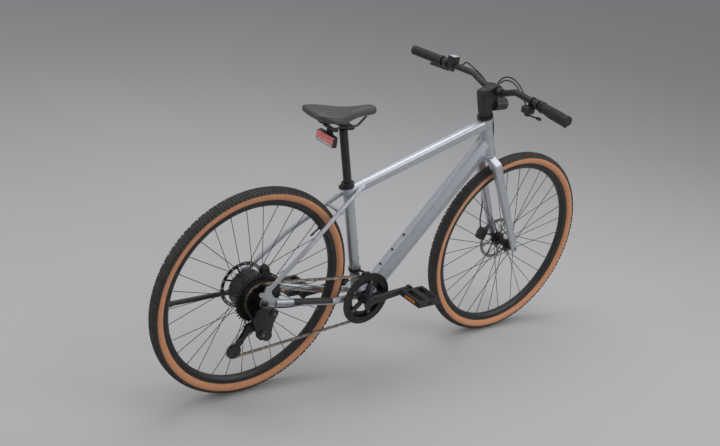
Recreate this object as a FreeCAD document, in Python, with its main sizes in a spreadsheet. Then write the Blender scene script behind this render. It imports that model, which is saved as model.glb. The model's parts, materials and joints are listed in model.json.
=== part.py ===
import FreeCAD, Part
import math
import os
import re

import Sketcher
from FreeCAD import Placement, Rotation, Vector

# A flat-bar hybrid bicycle with a rear hub motor, as it stands on the ground.
# X points forward, Y to the rider's left and Z up; the origin lies on the ground midway between the axles.
# Frame points are given as distances ahead of, beside and above the rear axle.

# Driving dimensions in millimetres and degrees
SIZES = {
    # wheels
    "tyre_radius": 357,
    "tyre_width": 45,
    "tyre_height": 46,
    "tyre_crown_width": 8,
    "tyre_wide_drop": 20,
    "tyre_bead_gap": 0.3,
    "rim_width": 25,
    "rim_edge_height": 6,
    "rim_seat_width": 20,
    "rim_depth": 14,
    "rim_wall_depth": 8,
    "rim_bed_width": 12,
    "spoke_count": 32,
    "spoke_thickness": 1.9,
    "spoke_stagger": 2.3,
    "spoke_end_gap": 0.3,
    "spoke_seat": 1.3,
    "spoke_rim_offset": 2,
    "running_clearance": 0.05,
    "seat_gap": 0.3,
    # front hub
    "front_axle_radius": 6,
    "front_axle_length": 124,
    "front_hub_length": 99.4,
    "front_hub_core_radius": 13,
    "front_hub_end_radius": 11,
    "front_hub_collar": 3,
    "front_flange_radius": 25,
    "front_flange_offset": 25,
    "front_flange_thickness": 4,
    "front_crossing_angle": 67.5,
    # rear hub with its motor
    "rear_axle_radius": 6,
    "rear_axle_length": 164,
    "rear_nut_radius": 9.5,
    "rear_nut_length": 8,
    "motor_radius": 62,
    "motor_right_face": -27,
    "motor_left_face": 46,
    "motor_chamfer": 7,
    "motor_cover_rise": 2,
    "motor_boss_radius": 20,
    "motor_collar_radius": 13.5,
    "motor_boss_end": 64,
    "rear_flange_offset": 21,
    "rear_flange_centre": 8,
    "rear_crossing_angle": 22.5,
    # brake rotors and calipers
    "rotor_radius": 80,
    "rotor_band": 12,
    "rotor_thickness": 2,
    "rotor_arm_width": 6,
    "rotor_arms": 8,
    "rotor_holes": 20,
    "rotor_hole_radius": 2.2,
    "rotor_carrier_radius": 24,
    "rotor_clearance": 1.5,
    "front_rotor_offset": 38,
    "rear_rotor_offset": 56,
    "caliper_overhang": 7,
    "caliper_inner": 12,
    "caliper_outer": 16,
    "caliper_depth": 30,
    "caliper_length": 44,
    "caliper_corner": 5,
    "caliper_cap_radius": 11,
    "caliper_cap_height": 3,
    "caliper_foot_radius": 6,
    "caliper_foot_offset": 8,
    "front_caliper_angle": 160,
    "front_caliper_foot": 58,
    "rear_caliper_angle": 19.5,
    "rear_caliper_foot": 68,
    # frame
    "chainstay_gap": 76,
    "toe_clearance": 324,
    "bb_drop": 79,
    "bb_shell_radius": 23,
    "bb_shell_width": 73,
    "bb_shell_bore": 18,
    "bb_cup_flange": 4,
    "bb_cup_depth": 16,
    "bb_cup_radius": 22,
    "seat_angle": 74.3,
    "seat_tube_radius": 17.5,
    "seat_tube_length": 430,
    "seat_tube_bore_depth": 330,
    "seat_clamp_radius": 21.5,
    "seat_clamp_height": 14,
    "seat_clamp_drop": 1,
    "seat_clamp_lug_reach": 24,
    "seat_clamp_lug_length": 12,
    "seat_clamp_lug_width": 16,
    "seat_clamp_slit": 2,
    "seat_clamp_bolt_radius": 3,
    "seat_clamp_bolt_length": 24,
    "head_angle": 70.5,
    "fork_offset": 50,
    "head_tube_length": 149,
    "head_tube_top_radius": 26,
    "head_tube_waist_radius": 24,
    "head_tube_bottom_radius": 28.5,
    "head_tube_cup_height": 24,
    "head_tube_bore": 20,
    "bearing_height": 12,
    "bearing_cover_radius": 28,
    "bearing_cover_height": 7,
    "top_tube_drop": 34.5,
    "top_tube_on_head_tube": 128,
    "top_tube_rear_width": 33,
    "top_tube_rear_depth": 36,
    "top_tube_front_width": 40,
    "top_tube_front_depth": 40,
    "top_tube_corner": 13,
    "down_tube_low_ahead": 33,
    "down_tube_low_drop": 20,
    "down_tube_on_head_tube": 49.6,
    "down_tube_head_width": 46,
    "down_tube_head_keel": 30,
    "down_tube_width": 54,
    "down_tube_depth": 60,
    "down_tube_ridge_width": 24,
    "down_tube_keel_width": 34,
    "down_tube_flank_height": 2,
    "down_tube_corner": 5,
    "chainstay_half_width": 9,
    "chainstay_half_height": 12.5,
    "chainstay_bend": 60,
    "seatstay_radius": 7.5,
    "seatstay_bend": 90,
    "bridge_gap": 18,
    "bridge_radius": 6,
    "dropout_offset": 67.5,
    "dropout_thickness": 6,
    "hanger_ahead": 20,
    "hanger_drop": 36,
    "hanger_width": 20,
    "eyelet_radius": 2.1,
    "eyelet_lug_width": 13,
    "eyelet_behind": 15,
    "eyelet_above": 27,
    "bottle_bolt_radius": 4,
    "bottle_bolt_head": 3.5,
    "bottle_bolt_spacing": 64,
    "down_tube_bolt_start": 118,
    "seat_tube_bolt_start": 130,
    # drivetrain
    "chain_pitch": 12.7,
    "chain_line": 45,
    "chain_plate_height": 8.2,
    "chain_plate_thickness": 0.8,
    "chain_inner_width": 2.4,
    "chain_layer_gap": 0.1,
    "roller_radius": 3.85,
    "chainring_teeth": 40,
    "driven_teeth": 26,
    "pulley_teeth": 11,
    "tooth_thickness": 1.8,
    "tooth_root_gap": 0.5,
    "sprocket_spacing": 3.9,
    "sprocket_bore": 17.5,
    "freehub_lip": 1,
    "spindle_radius": 12,
    "spindle_inset": 3,
    "crank_length": 170,
    "crank_rise_angle": 5,
    "crank_inner_face": 66,
    "crank_arm_thickness": 14,
    "crank_arm_root_depth": 32,
    "crank_arm_end_depth": 21,
    "crank_arm_corner": 4,
    "crank_boss_radius": 19,
    "crank_bolt_bore": 1,
    "crank_eye_radius": 13,
    "spider_radius": 66,
    "spider_arms": 5,
    "spider_arm_width": 17,
    "spider_thickness": 6,
    "chainring_bore": 52,
    "guard_radius": 94,
    "guard_bore": 69,
    "guard_thickness": 3,
    "pedal_spindle_radius": 5,
    "pedal_spindle_inset": 4,
    "pedal_length": 94,
    "pedal_width": 98,
    "pedal_thickness": 20,
    "pedal_gap": 8,
    "pedal_rail": 10,
    "pedal_sleeve_wall": 6,
    "chain_guide_up": 96,
    "chain_guide_band_radius": 21,
    "chain_guide_band_height": 10,
    "chain_guide_behind": 11,
    "chain_guide_above": 93,
    "chain_guide_length": 26,
    "chain_guide_width": 12,
    "chain_guide_thickness": 5,
    "chain_guide_cheek": 2,
    "chain_guide_arm_radius": 4,
    "guide_pulley_x": -26,
    "guide_pulley_z": -98,
    "pulley_distance": 88,
    "pulley_bore": 4,
    "pulley_hub_radius": 9,
    "cage_thickness": 2.4,
    "cage_gap": 5,
    "cage_bar_width": 15,
    "cage_guide_disc": 15,
    "cage_tension_disc": 23,
    "cage_pivot_ahead": 14,
    "cage_pivot_drop": 112,
    "derailleur_width": 20,
    "derailleur_upper_radius": 13,
    "derailleur_lower_radius": 17,
    "derailleur_inner_link": 19,
    "derailleur_outer_link": 26,
    "derailleur_link_thickness": 6,
    # kickstand
    "kickstand_x": 40,
    "kickstand_z": -40,
    "kickstand_length": 316,
    "kickstand_radius": 8,
    "kickstand_foot_radius": 10,
    "kickstand_foot_length": 44,
    "kickstand_eye_radius": 13,
    "kickstand_pin_radius": 5,
    "kickstand_pin_overhang": 3,
    "kickstand_inner_face": 78,
    "kickstand_eye_width": 20,
    # fork
    "steerer_radius": 14.3,
    "steerer_inset": 7,
    "crown_clearance": 28,
    "crown_height": 25,
    "crown_skirt": 15,
    "crown_depth": 38,
    "crown_half_width": 58.5,
    "crown_top_half": 16,
    "crown_shoulder_drop": 23,
    "crown_shoulder_depth": 8,
    "crown_edge": 9,
    "crown_race_radius": 24,
    "crown_race_height": 10,
    "crown_arch_slope": 8,
    "fork_top_spread": 45,
    "fork_bottom_spread": 57,
    "fork_top_depth": 34,
    "fork_top_width": 26,
    "fork_bottom_depth": 24,
    "fork_bottom_width": 13,
    "fork_leg_overlap": 6,
    "fork_tip_length": 12,
    "fork_corner": 6,
    # stem and handlebar
    "spacer_radius": 20,
    "spacer_height": 13.4,
    "stem_height": 83,
    "stem_column_height": 30,
    "stem_half_depth": 18.5,
    "stem_width": 37,
    "stem_edge": 7,
    "stem_reach": 47.4,
    "stem_clamp_rise": 66,
    "stem_clamp_radius": 21,
    "stem_clamp_lip": 1,
    "bar_clamp_radius": 15.9,
    "bar_clamp_half": 40,
    "bar_radius": 11.1,
    "bar_rise": 26,
    "bar_bend_out": 105,
    "bar_half_width": 378,
    "bar_sweep": 40,
    "bar_bend_back": 6,
    "bar_bend_radius": 45,
    "grip_length": 134,
    "grip_cap": 3,
    "grip_radius": 17,
    "grip_ring_radius": 18.5,
    "grip_ring_length": 9,
    # brake levers and shifter
    "lever_mount_inset": 18,
    "lever_mount_width": 16,
    "lever_mount_radius": 16.5,
    "lever_droop_angle": 40,
    "master_reach": 20,
    "master_radius": 8,
    "master_inner_length": 22,
    "master_outer_length": 14,
    "lever_pivot_reach": 37,
    "lever_pivot_inset": 8,
    "lever_pivot_radius": 3.5,
    "lever_eye_radius": 6.5,
    "lever_ear_thickness": 3,
    "lever_knee": 34,
    "lever_knee_rise": 4,
    "lever_length": 112,
    "lever_tip_reach": 58,
    "lever_tip_radius": 5.5,
    "lever_height": 11,
    "lever_thickness": 8,
    "lever_corner": 2,
    "shifter_inset": 30,
    "shifter_band_radius": 16,
    "shifter_band_width": 8,
    "shifter_depth": 34,
    "shifter_width": 33,
    "shifter_height": 24,
    "shifter_corner": 4,
    "shifter_back": 14,
    "shifter_drop": 26,
    "shifter_pin_radius": 3,
    "shifter_pin_length": 11,
    "shift_lever_hub_radius": 9,
    "shift_lever_hub_height": 6,
    "shift_lever_drop": 5,
    "shift_lever_reach": 44,
    "shift_lever_ahead": 10,
    "shift_lever_radius": 2.8,
    "shift_pad_length": 9,
    "shift_pad_width": 16,
    "shift_pad_height": 8,
    # lights and display
    "headlight_radius": 22,
    "headlight_length": 50,
    "headlight_ahead": 16.6,
    "headlight_drop": 62,
    "headlight_arm_width": 14,
    "headlight_arm_depth": 8,
    "display_inset": 30,
    "display_width": 30,
    "display_depth": 32,
    "display_height": 30,
    "display_back": 3,
    "display_rise": 18,
    "display_corner": 3,
    "display_band_radius": 15,
    "display_band_width": 8,
    "tail_light_width": 92,
    "tail_light_height": 38,
    "tail_light_depth": 14,
    "tail_light_taper": 4,
    "tail_light_corner": 8,
    "tail_light_behind": 63,
    "tail_light_drop": 16,
    "tail_hanger_width": 28,
    "tail_hanger_thickness": 5,
    "tail_hanger_bar_depth": 12,
    "tail_hanger_bar_height": 6,
    "tail_hanger_bar_width": 64,
    # seatpost and saddle
    "seatpost_radius": 13.6,
    "seatpost_rise": 184,
    "seatpost_insert": 190,
    "seatpost_neck": 10,
    "seatpost_head_length": 34,
    "seatpost_head_height": 14,
    "seatpost_head_margin": 6,
    "seatpost_head_ahead": 4,
    "seatpost_head_corner": 4,
    "rail_radius": 3.5,
    "rail_half_gap": 22,
    "rail_rise": 24,
    "saddle_setback": 149,
    "saddle_length": 266,
    "saddle_half_width": 68,
    "saddle_crown": 60,
}

doc = FreeCAD.newDocument("hybrid_bike")
sheet = doc.addObject("Spreadsheet::Sheet", "Sizes")
for row, (name, amount) in enumerate(SIZES.items(), start=1):
    sheet.set(f"A{row}", name)
    sheet.set(f"B{row}", str(amount))
    sheet.setAlias(f"B{row}", name)
doc.recompute()


def size(name):
    """One driving dimension, read from the sheet."""
    return float(sheet.get(name))


def bound(expression):
    """The expression with each driving dimension pointing at its cell."""
    return re.sub(r"[a-z_]+", lambda word: f"Sizes.{word[0]}" if word[0] in SIZES else word[0], expression)


def worth(expression):
    """What an expression of driving dimensions comes to."""
    return float(sheet.evalExpression(bound(expression)))


# Radii of the wheels and levels along the steering axis, as expressions of the driving dimensions
RIM_SEAT = "(tyre_radius - tyre_height)"
RIM_INNER = "(tyre_radius - tyre_height - rim_depth)"
ARCH_LEVEL = "(tyre_radius + crown_clearance)"
HEAD_BOTTOM = "(tyre_radius + crown_clearance + crown_height)"
HEAD_TOP = f"({HEAD_BOTTOM} + head_tube_length)"
STEM_BOTTOM = f"({HEAD_TOP} + bearing_cover_height + spacer_height + 2 * seat_gap)"
CLAMP_LEVEL = f"({STEM_BOTTOM} + stem_clamp_rise)"
STEM_TOP = f"({STEM_BOTTOM} + stem_height)"

# Directions and the main points of the bicycle
ALONG_X = Vector(1, 0, 0)
ALONG_Y = Vector(0, 1, 0)
ALONG_Z = Vector(0, 0, 1)
SIDES = {"left": 1, "right": -1}


def upwards(angle):
    """The direction that rises backwards at an angle in degrees from level, in the middle plane."""
    return Vector(-math.cos(math.radians(angle)), 0, math.sin(math.radians(angle)))


WHEELBASE = worth("2 * tyre_radius + chainstay_gap + toe_clearance")
REAR_AXLE = Vector(-WHEELBASE / 2, 0, size("tyre_radius"))
FRONT_AXLE = Vector(WHEELBASE / 2, 0, size("tyre_radius"))
BOTTOM_BRACKET = REAR_AXLE + Vector(worth("tyre_radius + chainstay_gap"), 0, -size("bb_drop"))
SEAT_UP = upwards(size("seat_angle"))
SEAT_FRONT = Vector(SEAT_UP.z, 0, -SEAT_UP.x)
STEER_UP = upwards(size("head_angle"))
STEER_AHEAD = Vector(STEER_UP.z, 0, -STEER_UP.x)
STEER_FOOT = FRONT_AXLE - STEER_AHEAD * size("fork_offset")
CHAIN_SIDE = Vector(0, -size("chain_line"), 0)
PEDAL_ANGLE = math.radians(size("crank_rise_angle"))
PEDAL_ARM = Vector(math.cos(PEDAL_ANGLE), 0, math.sin(PEDAL_ANGLE)) * size("crank_length")


def from_axle(ahead, beside, above):
    """A point of the frame, by its distances from the rear axle's centre."""
    return REAR_AXLE + Vector(ahead, beside, above)


def on_steering(height, ahead=0.0, beside=0.0):
    """A point of the fork or cockpit, by its height along the steering axis and its reach ahead of it."""
    return STEER_FOOT + STEER_UP * height + STEER_AHEAD * ahead + ALONG_Y * beside


def turned_to(axis, origin):
    """A placement that lays a piece's own Z along an axis."""
    return Placement(origin, Rotation(ALONG_Z, axis))


STEERING = Placement(STEER_FOOT, Rotation(STEER_AHEAD, ALONG_Y, STEER_UP, "ZXY"))
ACROSS_REAR = turned_to(ALONG_Y, REAR_AXLE)
ACROSS_FRONT = turned_to(ALONG_Y, FRONT_AXLE)
ACROSS_BRACKET = turned_to(ALONG_Y, BOTTOM_BRACKET)

sub_parts = []


def feature(label, shape):
    """A sub-part whose shape is built here, in the bicycle's own frame."""
    piece = doc.addObject("Part::Feature", label)
    piece.Label = label
    piece.Shape = shape
    piece.Placement = Placement()
    sub_parts.append(piece)
    return piece


def outline_sketch(body, plane, corners):
    """A closed outline whose corners are tied to the sheet, each a pair of expressions."""
    sketch = body.newObject("Sketcher::SketchObject", f"{body.Name}_outline")
    support = [item for item in body.Origin.OriginFeatures if item.Role == plane][0]
    sketch.AttachmentSupport = (support, [""])
    sketch.MapMode = "FlatFace"
    count = len(corners)
    places = [Vector(worth(across), worth(up), 0) for across, up in corners]
    for index in range(count):
        sketch.addGeometry(Part.LineSegment(places[index], places[(index + 1) % count]), False)
    for index in range(count):
        sketch.addConstraint(Sketcher.Constraint("Coincident", index, 2, (index + 1) % count, 1))
    for index, (across, up) in enumerate(corners):
        ways = (("DistanceX", across, places[index].x), ("DistanceY", up, places[index].y))
        for kind, expression, amount in ways:
            number = sketch.addConstraint(Sketcher.Constraint(kind, -1, 1, index, 1, amount))
            sketch.setExpression(f"Constraints[{number}]", bound(expression))
    return sketch


def revolved(label, corners, placement, blank=False):
    """A turned sub-part, or a blank for one: corners are (radius, height) pairs about the placement's Z."""
    body = doc.addObject("PartDesign::Body", label)
    body.Label = label
    sketch = outline_sketch(body, "XZ_Plane", corners)
    turn = body.newObject("PartDesign::Revolution", f"{label}_turn")
    turn.Profile = sketch
    turn.ReferenceAxis = (sketch, ["V_Axis"])
    turn.Angle = 360
    body.Placement = placement
    if not blank:
        sub_parts.append(body)
    return body


def padded_blank(label, corners, width, placement):
    """A blank of constant width: corners are (ahead, up) pairs in the placement's XZ plane."""
    body = doc.addObject("PartDesign::Body", label)
    body.Label = label
    pad = body.newObject("PartDesign::Pad", f"{label}_pad")
    pad.Profile = outline_sketch(body, "XZ_Plane", corners)
    pad.SideType = "Symmetric"
    pad.setExpression("Length", bound(width))
    body.Placement = placement
    body.Tip = pad
    return body


def rod(start, end, radius):
    """A round bar between two points."""
    run = end - start
    return Part.makeCylinder(radius, run.Length, start, run)


def rod_through(middle, reach, radius):
    """A round bar that reaches equally far to both sides of a point."""
    return rod(middle - reach, middle + reach, radius)


def running_fit(name):
    """The bore that runs on a round piece: that piece's radius and the running clearance."""
    return worth(f"{name} + running_clearance")


def ring(centre, axis, outer, inner, length):
    """A collar centred on a point."""
    start = centre - Vector(axis).normalize() * (length / 2)
    return Part.makeCylinder(outer, length, start, axis).cut(Part.makeCylinder(inner, length, start, axis))


def block(centre, lengths, placement=None):
    """A box by its middle and its three lengths, turned by a placement's rotation."""
    box = Part.makeBox(lengths[0], lengths[1], lengths[2], Vector(lengths[0], lengths[1], lengths[2]) * -0.5)
    turn = placement.Rotation if placement else Rotation()
    box.Placement = Placement(centre, turn)
    return box


def joined(shapes):
    """One solid from pieces that meet."""
    whole = shapes[0].multiFuse(shapes[1:])
    return whole.removeSplitter()


def grouped(shapes):
    """Separate solids that share one node."""
    return Part.makeCompound(shapes)


def bent_path(points, bends):
    """Straight runs joined by tangent arcs, with one bend radius for each inner point."""
    edges = []
    start = points[0]
    for before, corner, after, bend in zip(points, points[1:], points[2:], bends):
        into = (corner - before).normalize()
        out = (after - corner).normalize()
        half = into.getAngle(out) / 2
        reach = bend * math.tan(half)
        middle = corner + (out - into).normalize() * (bend / math.cos(half) - bend)
        edges.append(Part.LineSegment(start, corner - into * reach).toShape())
        edges.append(Part.Arc(corner - into * reach, middle, corner + out * reach).toShape())
        start = corner + out * reach
    edges.append(Part.LineSegment(start, points[-1]).toShape())
    return Part.Wire(edges)


def tube_along(path, radius):
    """A round tube along a path of runs and arcs."""
    start = path.Edges[0].valueAt(path.Edges[0].FirstParameter)
    heading = path.Edges[0].tangentAt(path.Edges[0].FirstParameter)
    profile = Part.Wire(Part.makeCircle(radius, start, heading))
    return path.makePipeShell([profile], True, False)


def oval_along(path, half_width, half_height):
    """A tube of upright oval section along a path of runs and arcs."""
    start = path.Edges[0].valueAt(path.Edges[0].FirstParameter)
    heading = path.Edges[0].tangentAt(path.Edges[0].FirstParameter)
    side = heading.cross(ALONG_Z).normalize()
    up = side.cross(heading)
    oval = Part.Ellipse(start + up * half_height, start + side * half_width, start)
    return path.makePipeShell([Part.Wire(oval.toShape())], True, False)


def hose(name, points, radius):
    """A flexible line: every arc is as large as its two runs allow, and the radii are printed."""
    bends = []
    for before, corner, after in zip(points, points[1:], points[2:]):
        half = (corner - before).getAngle(after - corner) / 2
        shorter = min((corner - before).Length, (after - corner).Length)
        bends.append(0.45 * shorter / math.tan(half))
    print(name, "bend radii", [round(bend, 1) for bend in bends])
    return tube_along(bent_path(points, bends), radius)


def rounded_outline(corners, radius):
    """A closed wire through the corners, each turned into an arc of the radius."""
    arcs = []
    count = len(corners)
    for index, corner in enumerate(corners):
        before = (corners[index - 1] - corner).normalize()
        after = (corners[(index + 1) % count] - corner).normalize()
        half = before.getAngle(after) / 2
        reach = radius / math.tan(half)
        middle = corner + (before + after).normalize() * (radius / math.sin(half) - radius)
        arcs.append((corner + before * reach, middle, corner + after * reach))
    edges = []
    for index, arc in enumerate(arcs):
        edges.append(Part.Arc(*arc).toShape())
        edges.append(Part.LineSegment(arc[2], arcs[(index + 1) % count][0]).toShape())
    return Part.Wire(edges)


def section(centre, side, up, corners, radius):
    """A rounded outline in the plane of side and up, from corners given as (side, up) pairs."""
    return rounded_outline([centre + side * across + up * high for across, high in corners], radius)


def oblong(width, depth):
    """The four corners of a centred rectangle."""
    return [(width / 2, depth / 2), (-width / 2, depth / 2), (-width / 2, -depth / 2), (width / 2, -depth / 2)]


def tapered_bar(start, end, start_corners, end_corners, radius, side=ALONG_Y):
    """A straight bar whose rounded section changes from one end to the other."""
    along = (end - start).normalize()
    up = along.cross(side)
    first = section(start, side, up, start_corners, radius)
    last = section(end, side, up, end_corners, radius)
    return Part.makeLoft([first, last], True, True)


def plate(corners, inner, outer):
    """A flat plate in the XZ plane between two distances beside the bicycle's middle."""
    places = [Vector(corner.x, inner, corner.z) for corner in corners]
    face = Part.Face(Part.makePolygon(places + [places[0]]))
    return face.extrude(Vector(0, outer - inner, 0))


def link_plate(first, last, width, inner, outer):
    """A bar with round ends between two points, lying in the XZ plane."""
    along = (last - first).normalize()
    across = along.cross(ALONG_Y) * (width / 2)
    bar = plate([first + across, last + across, last - across, first - across], inner, outer)
    ends = []
    for point in (first, last):
        start = Vector(point.x, inner, point.z)
        ends.append(Part.makeCylinder(width / 2, abs(outer - inner), start, Vector(0, outer - inner, 0)))
    return joined([bar] + ends)


def rounded_block(centre, lengths, radius, placement=None):
    """A box by its middle and its three lengths, with all its edges rounded."""
    box = block(centre, lengths, placement)
    return box.makeFillet(radius, box.Edges)


# Tyres and rims
TYRE_ARC = (0, 30, 58)
TYRE_OUTLINE = [
    (f"{RIM_SEAT} + tyre_bead_gap", "rim_seat_width / 2 - tyre_bead_gap"),
    (f"{RIM_SEAT} + rim_edge_height + tyre_bead_gap", "rim_width / 2 - tyre_bead_gap"),
]
for degrees in TYRE_ARC:
    rise = f"tyre_wide_drop * (1 - sin({degrees}))"
    TYRE_OUTLINE.append((f"tyre_radius - {rise}", f"tyre_width / 2 * cos({degrees})"))
TYRE_OUTLINE.append(("tyre_radius", "tyre_crown_width / 2"))
RIM_OUTLINE = [
    (RIM_SEAT, "rim_seat_width / 2"),
    (f"{RIM_SEAT} + rim_edge_height", "rim_width / 2"),
    (f"{RIM_INNER} + rim_wall_depth", "rim_width / 2"),
    (RIM_INNER, "rim_bed_width / 2"),
]


def both_halves(half):
    """A turned outline from the half on the left, with its mirror image on the right."""
    return half + [(across, f"-({up})") for across, up in reversed(half)]


for end, placement in (("front", ACROSS_FRONT), ("rear", ACROSS_REAR)):
    revolved(f"{end}_tyre", both_halves(TYRE_OUTLINE), placement)
    revolved(f"{end}_rim", both_halves(RIM_OUTLINE), placement)

# Front hub, its axle and the rear hub motor
revolved(
    "front_hub",
    both_halves([
        ("front_axle_radius + running_clearance", "front_hub_length / 2"),
        ("front_hub_end_radius", "front_hub_length / 2"),
        ("front_hub_core_radius", "front_rotor_offset + front_hub_collar"),
        ("front_hub_core_radius", "front_flange_offset + front_flange_thickness / 2"),
        ("front_flange_radius", "front_flange_offset + front_flange_thickness / 2"),
        ("front_flange_radius", "front_flange_offset - front_flange_thickness / 2"),
        ("front_hub_core_radius", "front_flange_offset - front_flange_thickness / 2"),
    ]),
    ACROSS_FRONT,
)
revolved(
    "front_axle",
    both_halves([
        ("0", "front_axle_length / 2"),
        ("front_axle_radius", "front_axle_length / 2"),
    ]),
    ACROSS_FRONT,
)
ROTOR_SEAT = "rear_rotor_offset - rotor_thickness / 2 - seat_gap"
revolved(
    "hub_motor",
    [
        ("rear_axle_radius + running_clearance", "motor_right_face"),
        ("motor_radius - motor_chamfer", "motor_right_face"),
        ("motor_radius", "motor_right_face + motor_chamfer"),
        ("motor_radius", "motor_left_face - motor_chamfer"),
        ("motor_radius - motor_chamfer", "motor_left_face"),
        ("motor_boss_radius", "motor_left_face + motor_cover_rise"),
        ("motor_boss_radius", ROTOR_SEAT),
        ("motor_collar_radius", ROTOR_SEAT),
        ("motor_collar_radius", "motor_boss_end"),
        ("rear_axle_radius + running_clearance", "motor_boss_end"),
    ],
    ACROSS_REAR,
)
NUT_SEAT = "dropout_offset + dropout_thickness + seat_gap"
revolved(
    "rear_axle",
    both_halves([
        ("0", "rear_axle_length / 2"),
        ("rear_axle_radius", "rear_axle_length / 2"),
        ("rear_axle_radius", f"{NUT_SEAT} + rear_nut_length"),
        ("rear_nut_radius", f"{NUT_SEAT} + rear_nut_length"),
        ("rear_nut_radius", NUT_SEAT),
        ("rear_axle_radius", NUT_SEAT),
    ]),
    ACROSS_REAR,
)


def on_circle(centre, radius, angle):
    """A point on an upright circle round a centre, by its angle above straight ahead."""
    return centre + Vector(math.cos(angle), 0, math.sin(angle)) * radius


def six_sided_wire(start, end, thickness):
    """A straight wire of six-sided section between two points."""
    along = (end - start).normalize()
    first = along.cross(ALONG_Y).normalize()
    second = along.cross(first)
    corners = []
    for corner in range(6):
        angle = corner * math.pi / 3
        corners.append(start + (first * math.cos(angle) + second * math.sin(angle)) * (thickness / math.sqrt(3)))
    hexagon = Part.Face(Part.makePolygon(corners + [corners[0]]))
    return hexagon.extrude(end - start)


def spokes(label, axle, flange_radius, flange_centre, flange_offset, crossing):
    """Spokes laced in crossing pairs from both flanges to the rim."""
    count = int(size("spoke_count"))
    hub_reach = flange_radius + size("spoke_seat")
    rim_reach = worth(RIM_INNER) - size("spoke_end_gap")
    wires = []
    for index in range(count):
        side = 1 if index % 2 else -1
        lean = 1 if (index // 2) % 2 else -1
        rim_angle = 2 * math.pi * index / count
        hub_angle = rim_angle + lean * math.radians(crossing)
        hub_beside = flange_centre + side * flange_offset + lean * side * size("spoke_stagger")
        start = on_circle(axle + ALONG_Y * hub_beside, hub_reach, hub_angle)
        end = on_circle(axle + ALONG_Y * side * size("spoke_rim_offset"), rim_reach, rim_angle)
        wires.append(six_sided_wire(start, end, size("spoke_thickness")))
    feature(label, grouped(wires))


spokes("front_spokes", FRONT_AXLE, size("front_flange_radius"), 0, size("front_flange_offset"),
       size("front_crossing_angle"))
spokes("rear_spokes", REAR_AXLE, size("motor_radius"), size("rear_flange_centre"), size("rear_flange_offset"),
       size("rear_crossing_angle"))


def brake_rotor(label, axle, offset, bore):
    """A ventilated disc: drilled braking band, slanted arms and carrier."""
    thickness = size("rotor_thickness")
    middle = axle + ALONG_Y * offset
    band_inner = size("rotor_radius") - size("rotor_band")
    pieces = [
        ring(middle, ALONG_Y, size("rotor_radius"), band_inner, thickness),
        ring(middle, ALONG_Y, size("rotor_carrier_radius"), bore, thickness),
    ]
    arms = int(size("rotor_arms"))
    inner_reach = (bore + size("rotor_carrier_radius")) / 2
    outer_reach = band_inner + size("rotor_band") / 4
    for index in range(arms):
        angle = 2 * math.pi * index / arms
        inner_end = on_circle(middle, inner_reach, angle)
        outer_end = on_circle(middle, outer_reach, angle + math.pi / arms)
        across = (outer_end - inner_end).normalize().cross(ALONG_Y) * (size("rotor_arm_width") / 2)
        corners = [inner_end + across, outer_end + across, outer_end - across, inner_end - across]
        pieces.append(plate(corners, offset - thickness / 2, offset + thickness / 2))
    disc = joined(pieces)
    holes = int(size("rotor_holes"))
    for index in range(holes):
        place = on_circle(middle, size("rotor_radius") - size("rotor_band") / 2, 2 * math.pi * index / holes)
        disc = disc.cut(rod_through(place, ALONG_Y * thickness, size("rotor_hole_radius")))
    feature(label, disc)


brake_rotor("front_rotor", FRONT_AXLE, size("front_rotor_offset"), worth("front_hub_core_radius + seat_gap"))
brake_rotor("rear_rotor", REAR_AXLE, size("rear_rotor_offset"), worth("motor_collar_radius + seat_gap"))

# Main tubes of the frame
revolved(
    "head_tube",
    [
        ("head_tube_bore", HEAD_BOTTOM),
        ("head_tube_bottom_radius", HEAD_BOTTOM),
        ("head_tube_bottom_radius", f"{HEAD_BOTTOM} + head_tube_cup_height / 2"),
        ("head_tube_waist_radius", f"{HEAD_BOTTOM} + 2 * head_tube_cup_height"),
        ("head_tube_waist_radius", f"{HEAD_TOP} - head_tube_cup_height"),
        ("head_tube_top_radius", f"{HEAD_TOP} - head_tube_cup_height / 2"),
        ("head_tube_top_radius", HEAD_TOP),
        ("head_tube_bore", HEAD_TOP),
    ],
    STEERING,
)
SEATING = turned_to(SEAT_UP, BOTTOM_BRACKET)
seat_tube_blank = revolved(
    "seat_tube_blank",
    [
        ("0", "bb_shell_bore"),
        ("seat_tube_radius", "bb_shell_bore"),
        ("seat_tube_radius", "seat_tube_length"),
        ("seatpost_radius + running_clearance", "seat_tube_length"),
        ("seatpost_radius + running_clearance", "seat_tube_length - seat_tube_bore_depth"),
        ("0", "seat_tube_length - seat_tube_bore_depth"),
    ],
    SEATING,
    blank=True,
)
revolved(
    "bottom_bracket_shell",
    both_halves([
        ("bb_shell_bore", "bb_shell_width / 2"),
        ("bb_shell_radius", "bb_shell_width / 2"),
    ]),
    ACROSS_BRACKET,
)
doc.recompute()


def built(label):
    """The finished shape of a sub-part that stands already."""
    return [piece for piece in sub_parts if piece.Label == label][0].Shape


head_bottom = worth(HEAD_BOTTOM)
head_top = worth(HEAD_TOP)
half_shell = ALONG_Y * (size("bb_shell_width") / 2)
SHELL_CORE = rod_through(BOTTOM_BRACKET, half_shell, size("bb_shell_radius"))
SEAT_CORE = rod(BOTTOM_BRACKET, BOTTOM_BRACKET + SEAT_UP * size("seat_tube_length"), size("seat_tube_radius"))
HEAD_CORE = joined([
    built("head_tube"),
    rod(on_steering(head_bottom), on_steering(head_top), size("head_tube_bore")),
    rod(on_steering(head_top), on_steering(worth(STEM_BOTTOM)), worth("bearing_cover_radius + seat_gap")),
])
feature("seat_tube", seat_tube_blank.Shape.cut(SHELL_CORE))

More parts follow.
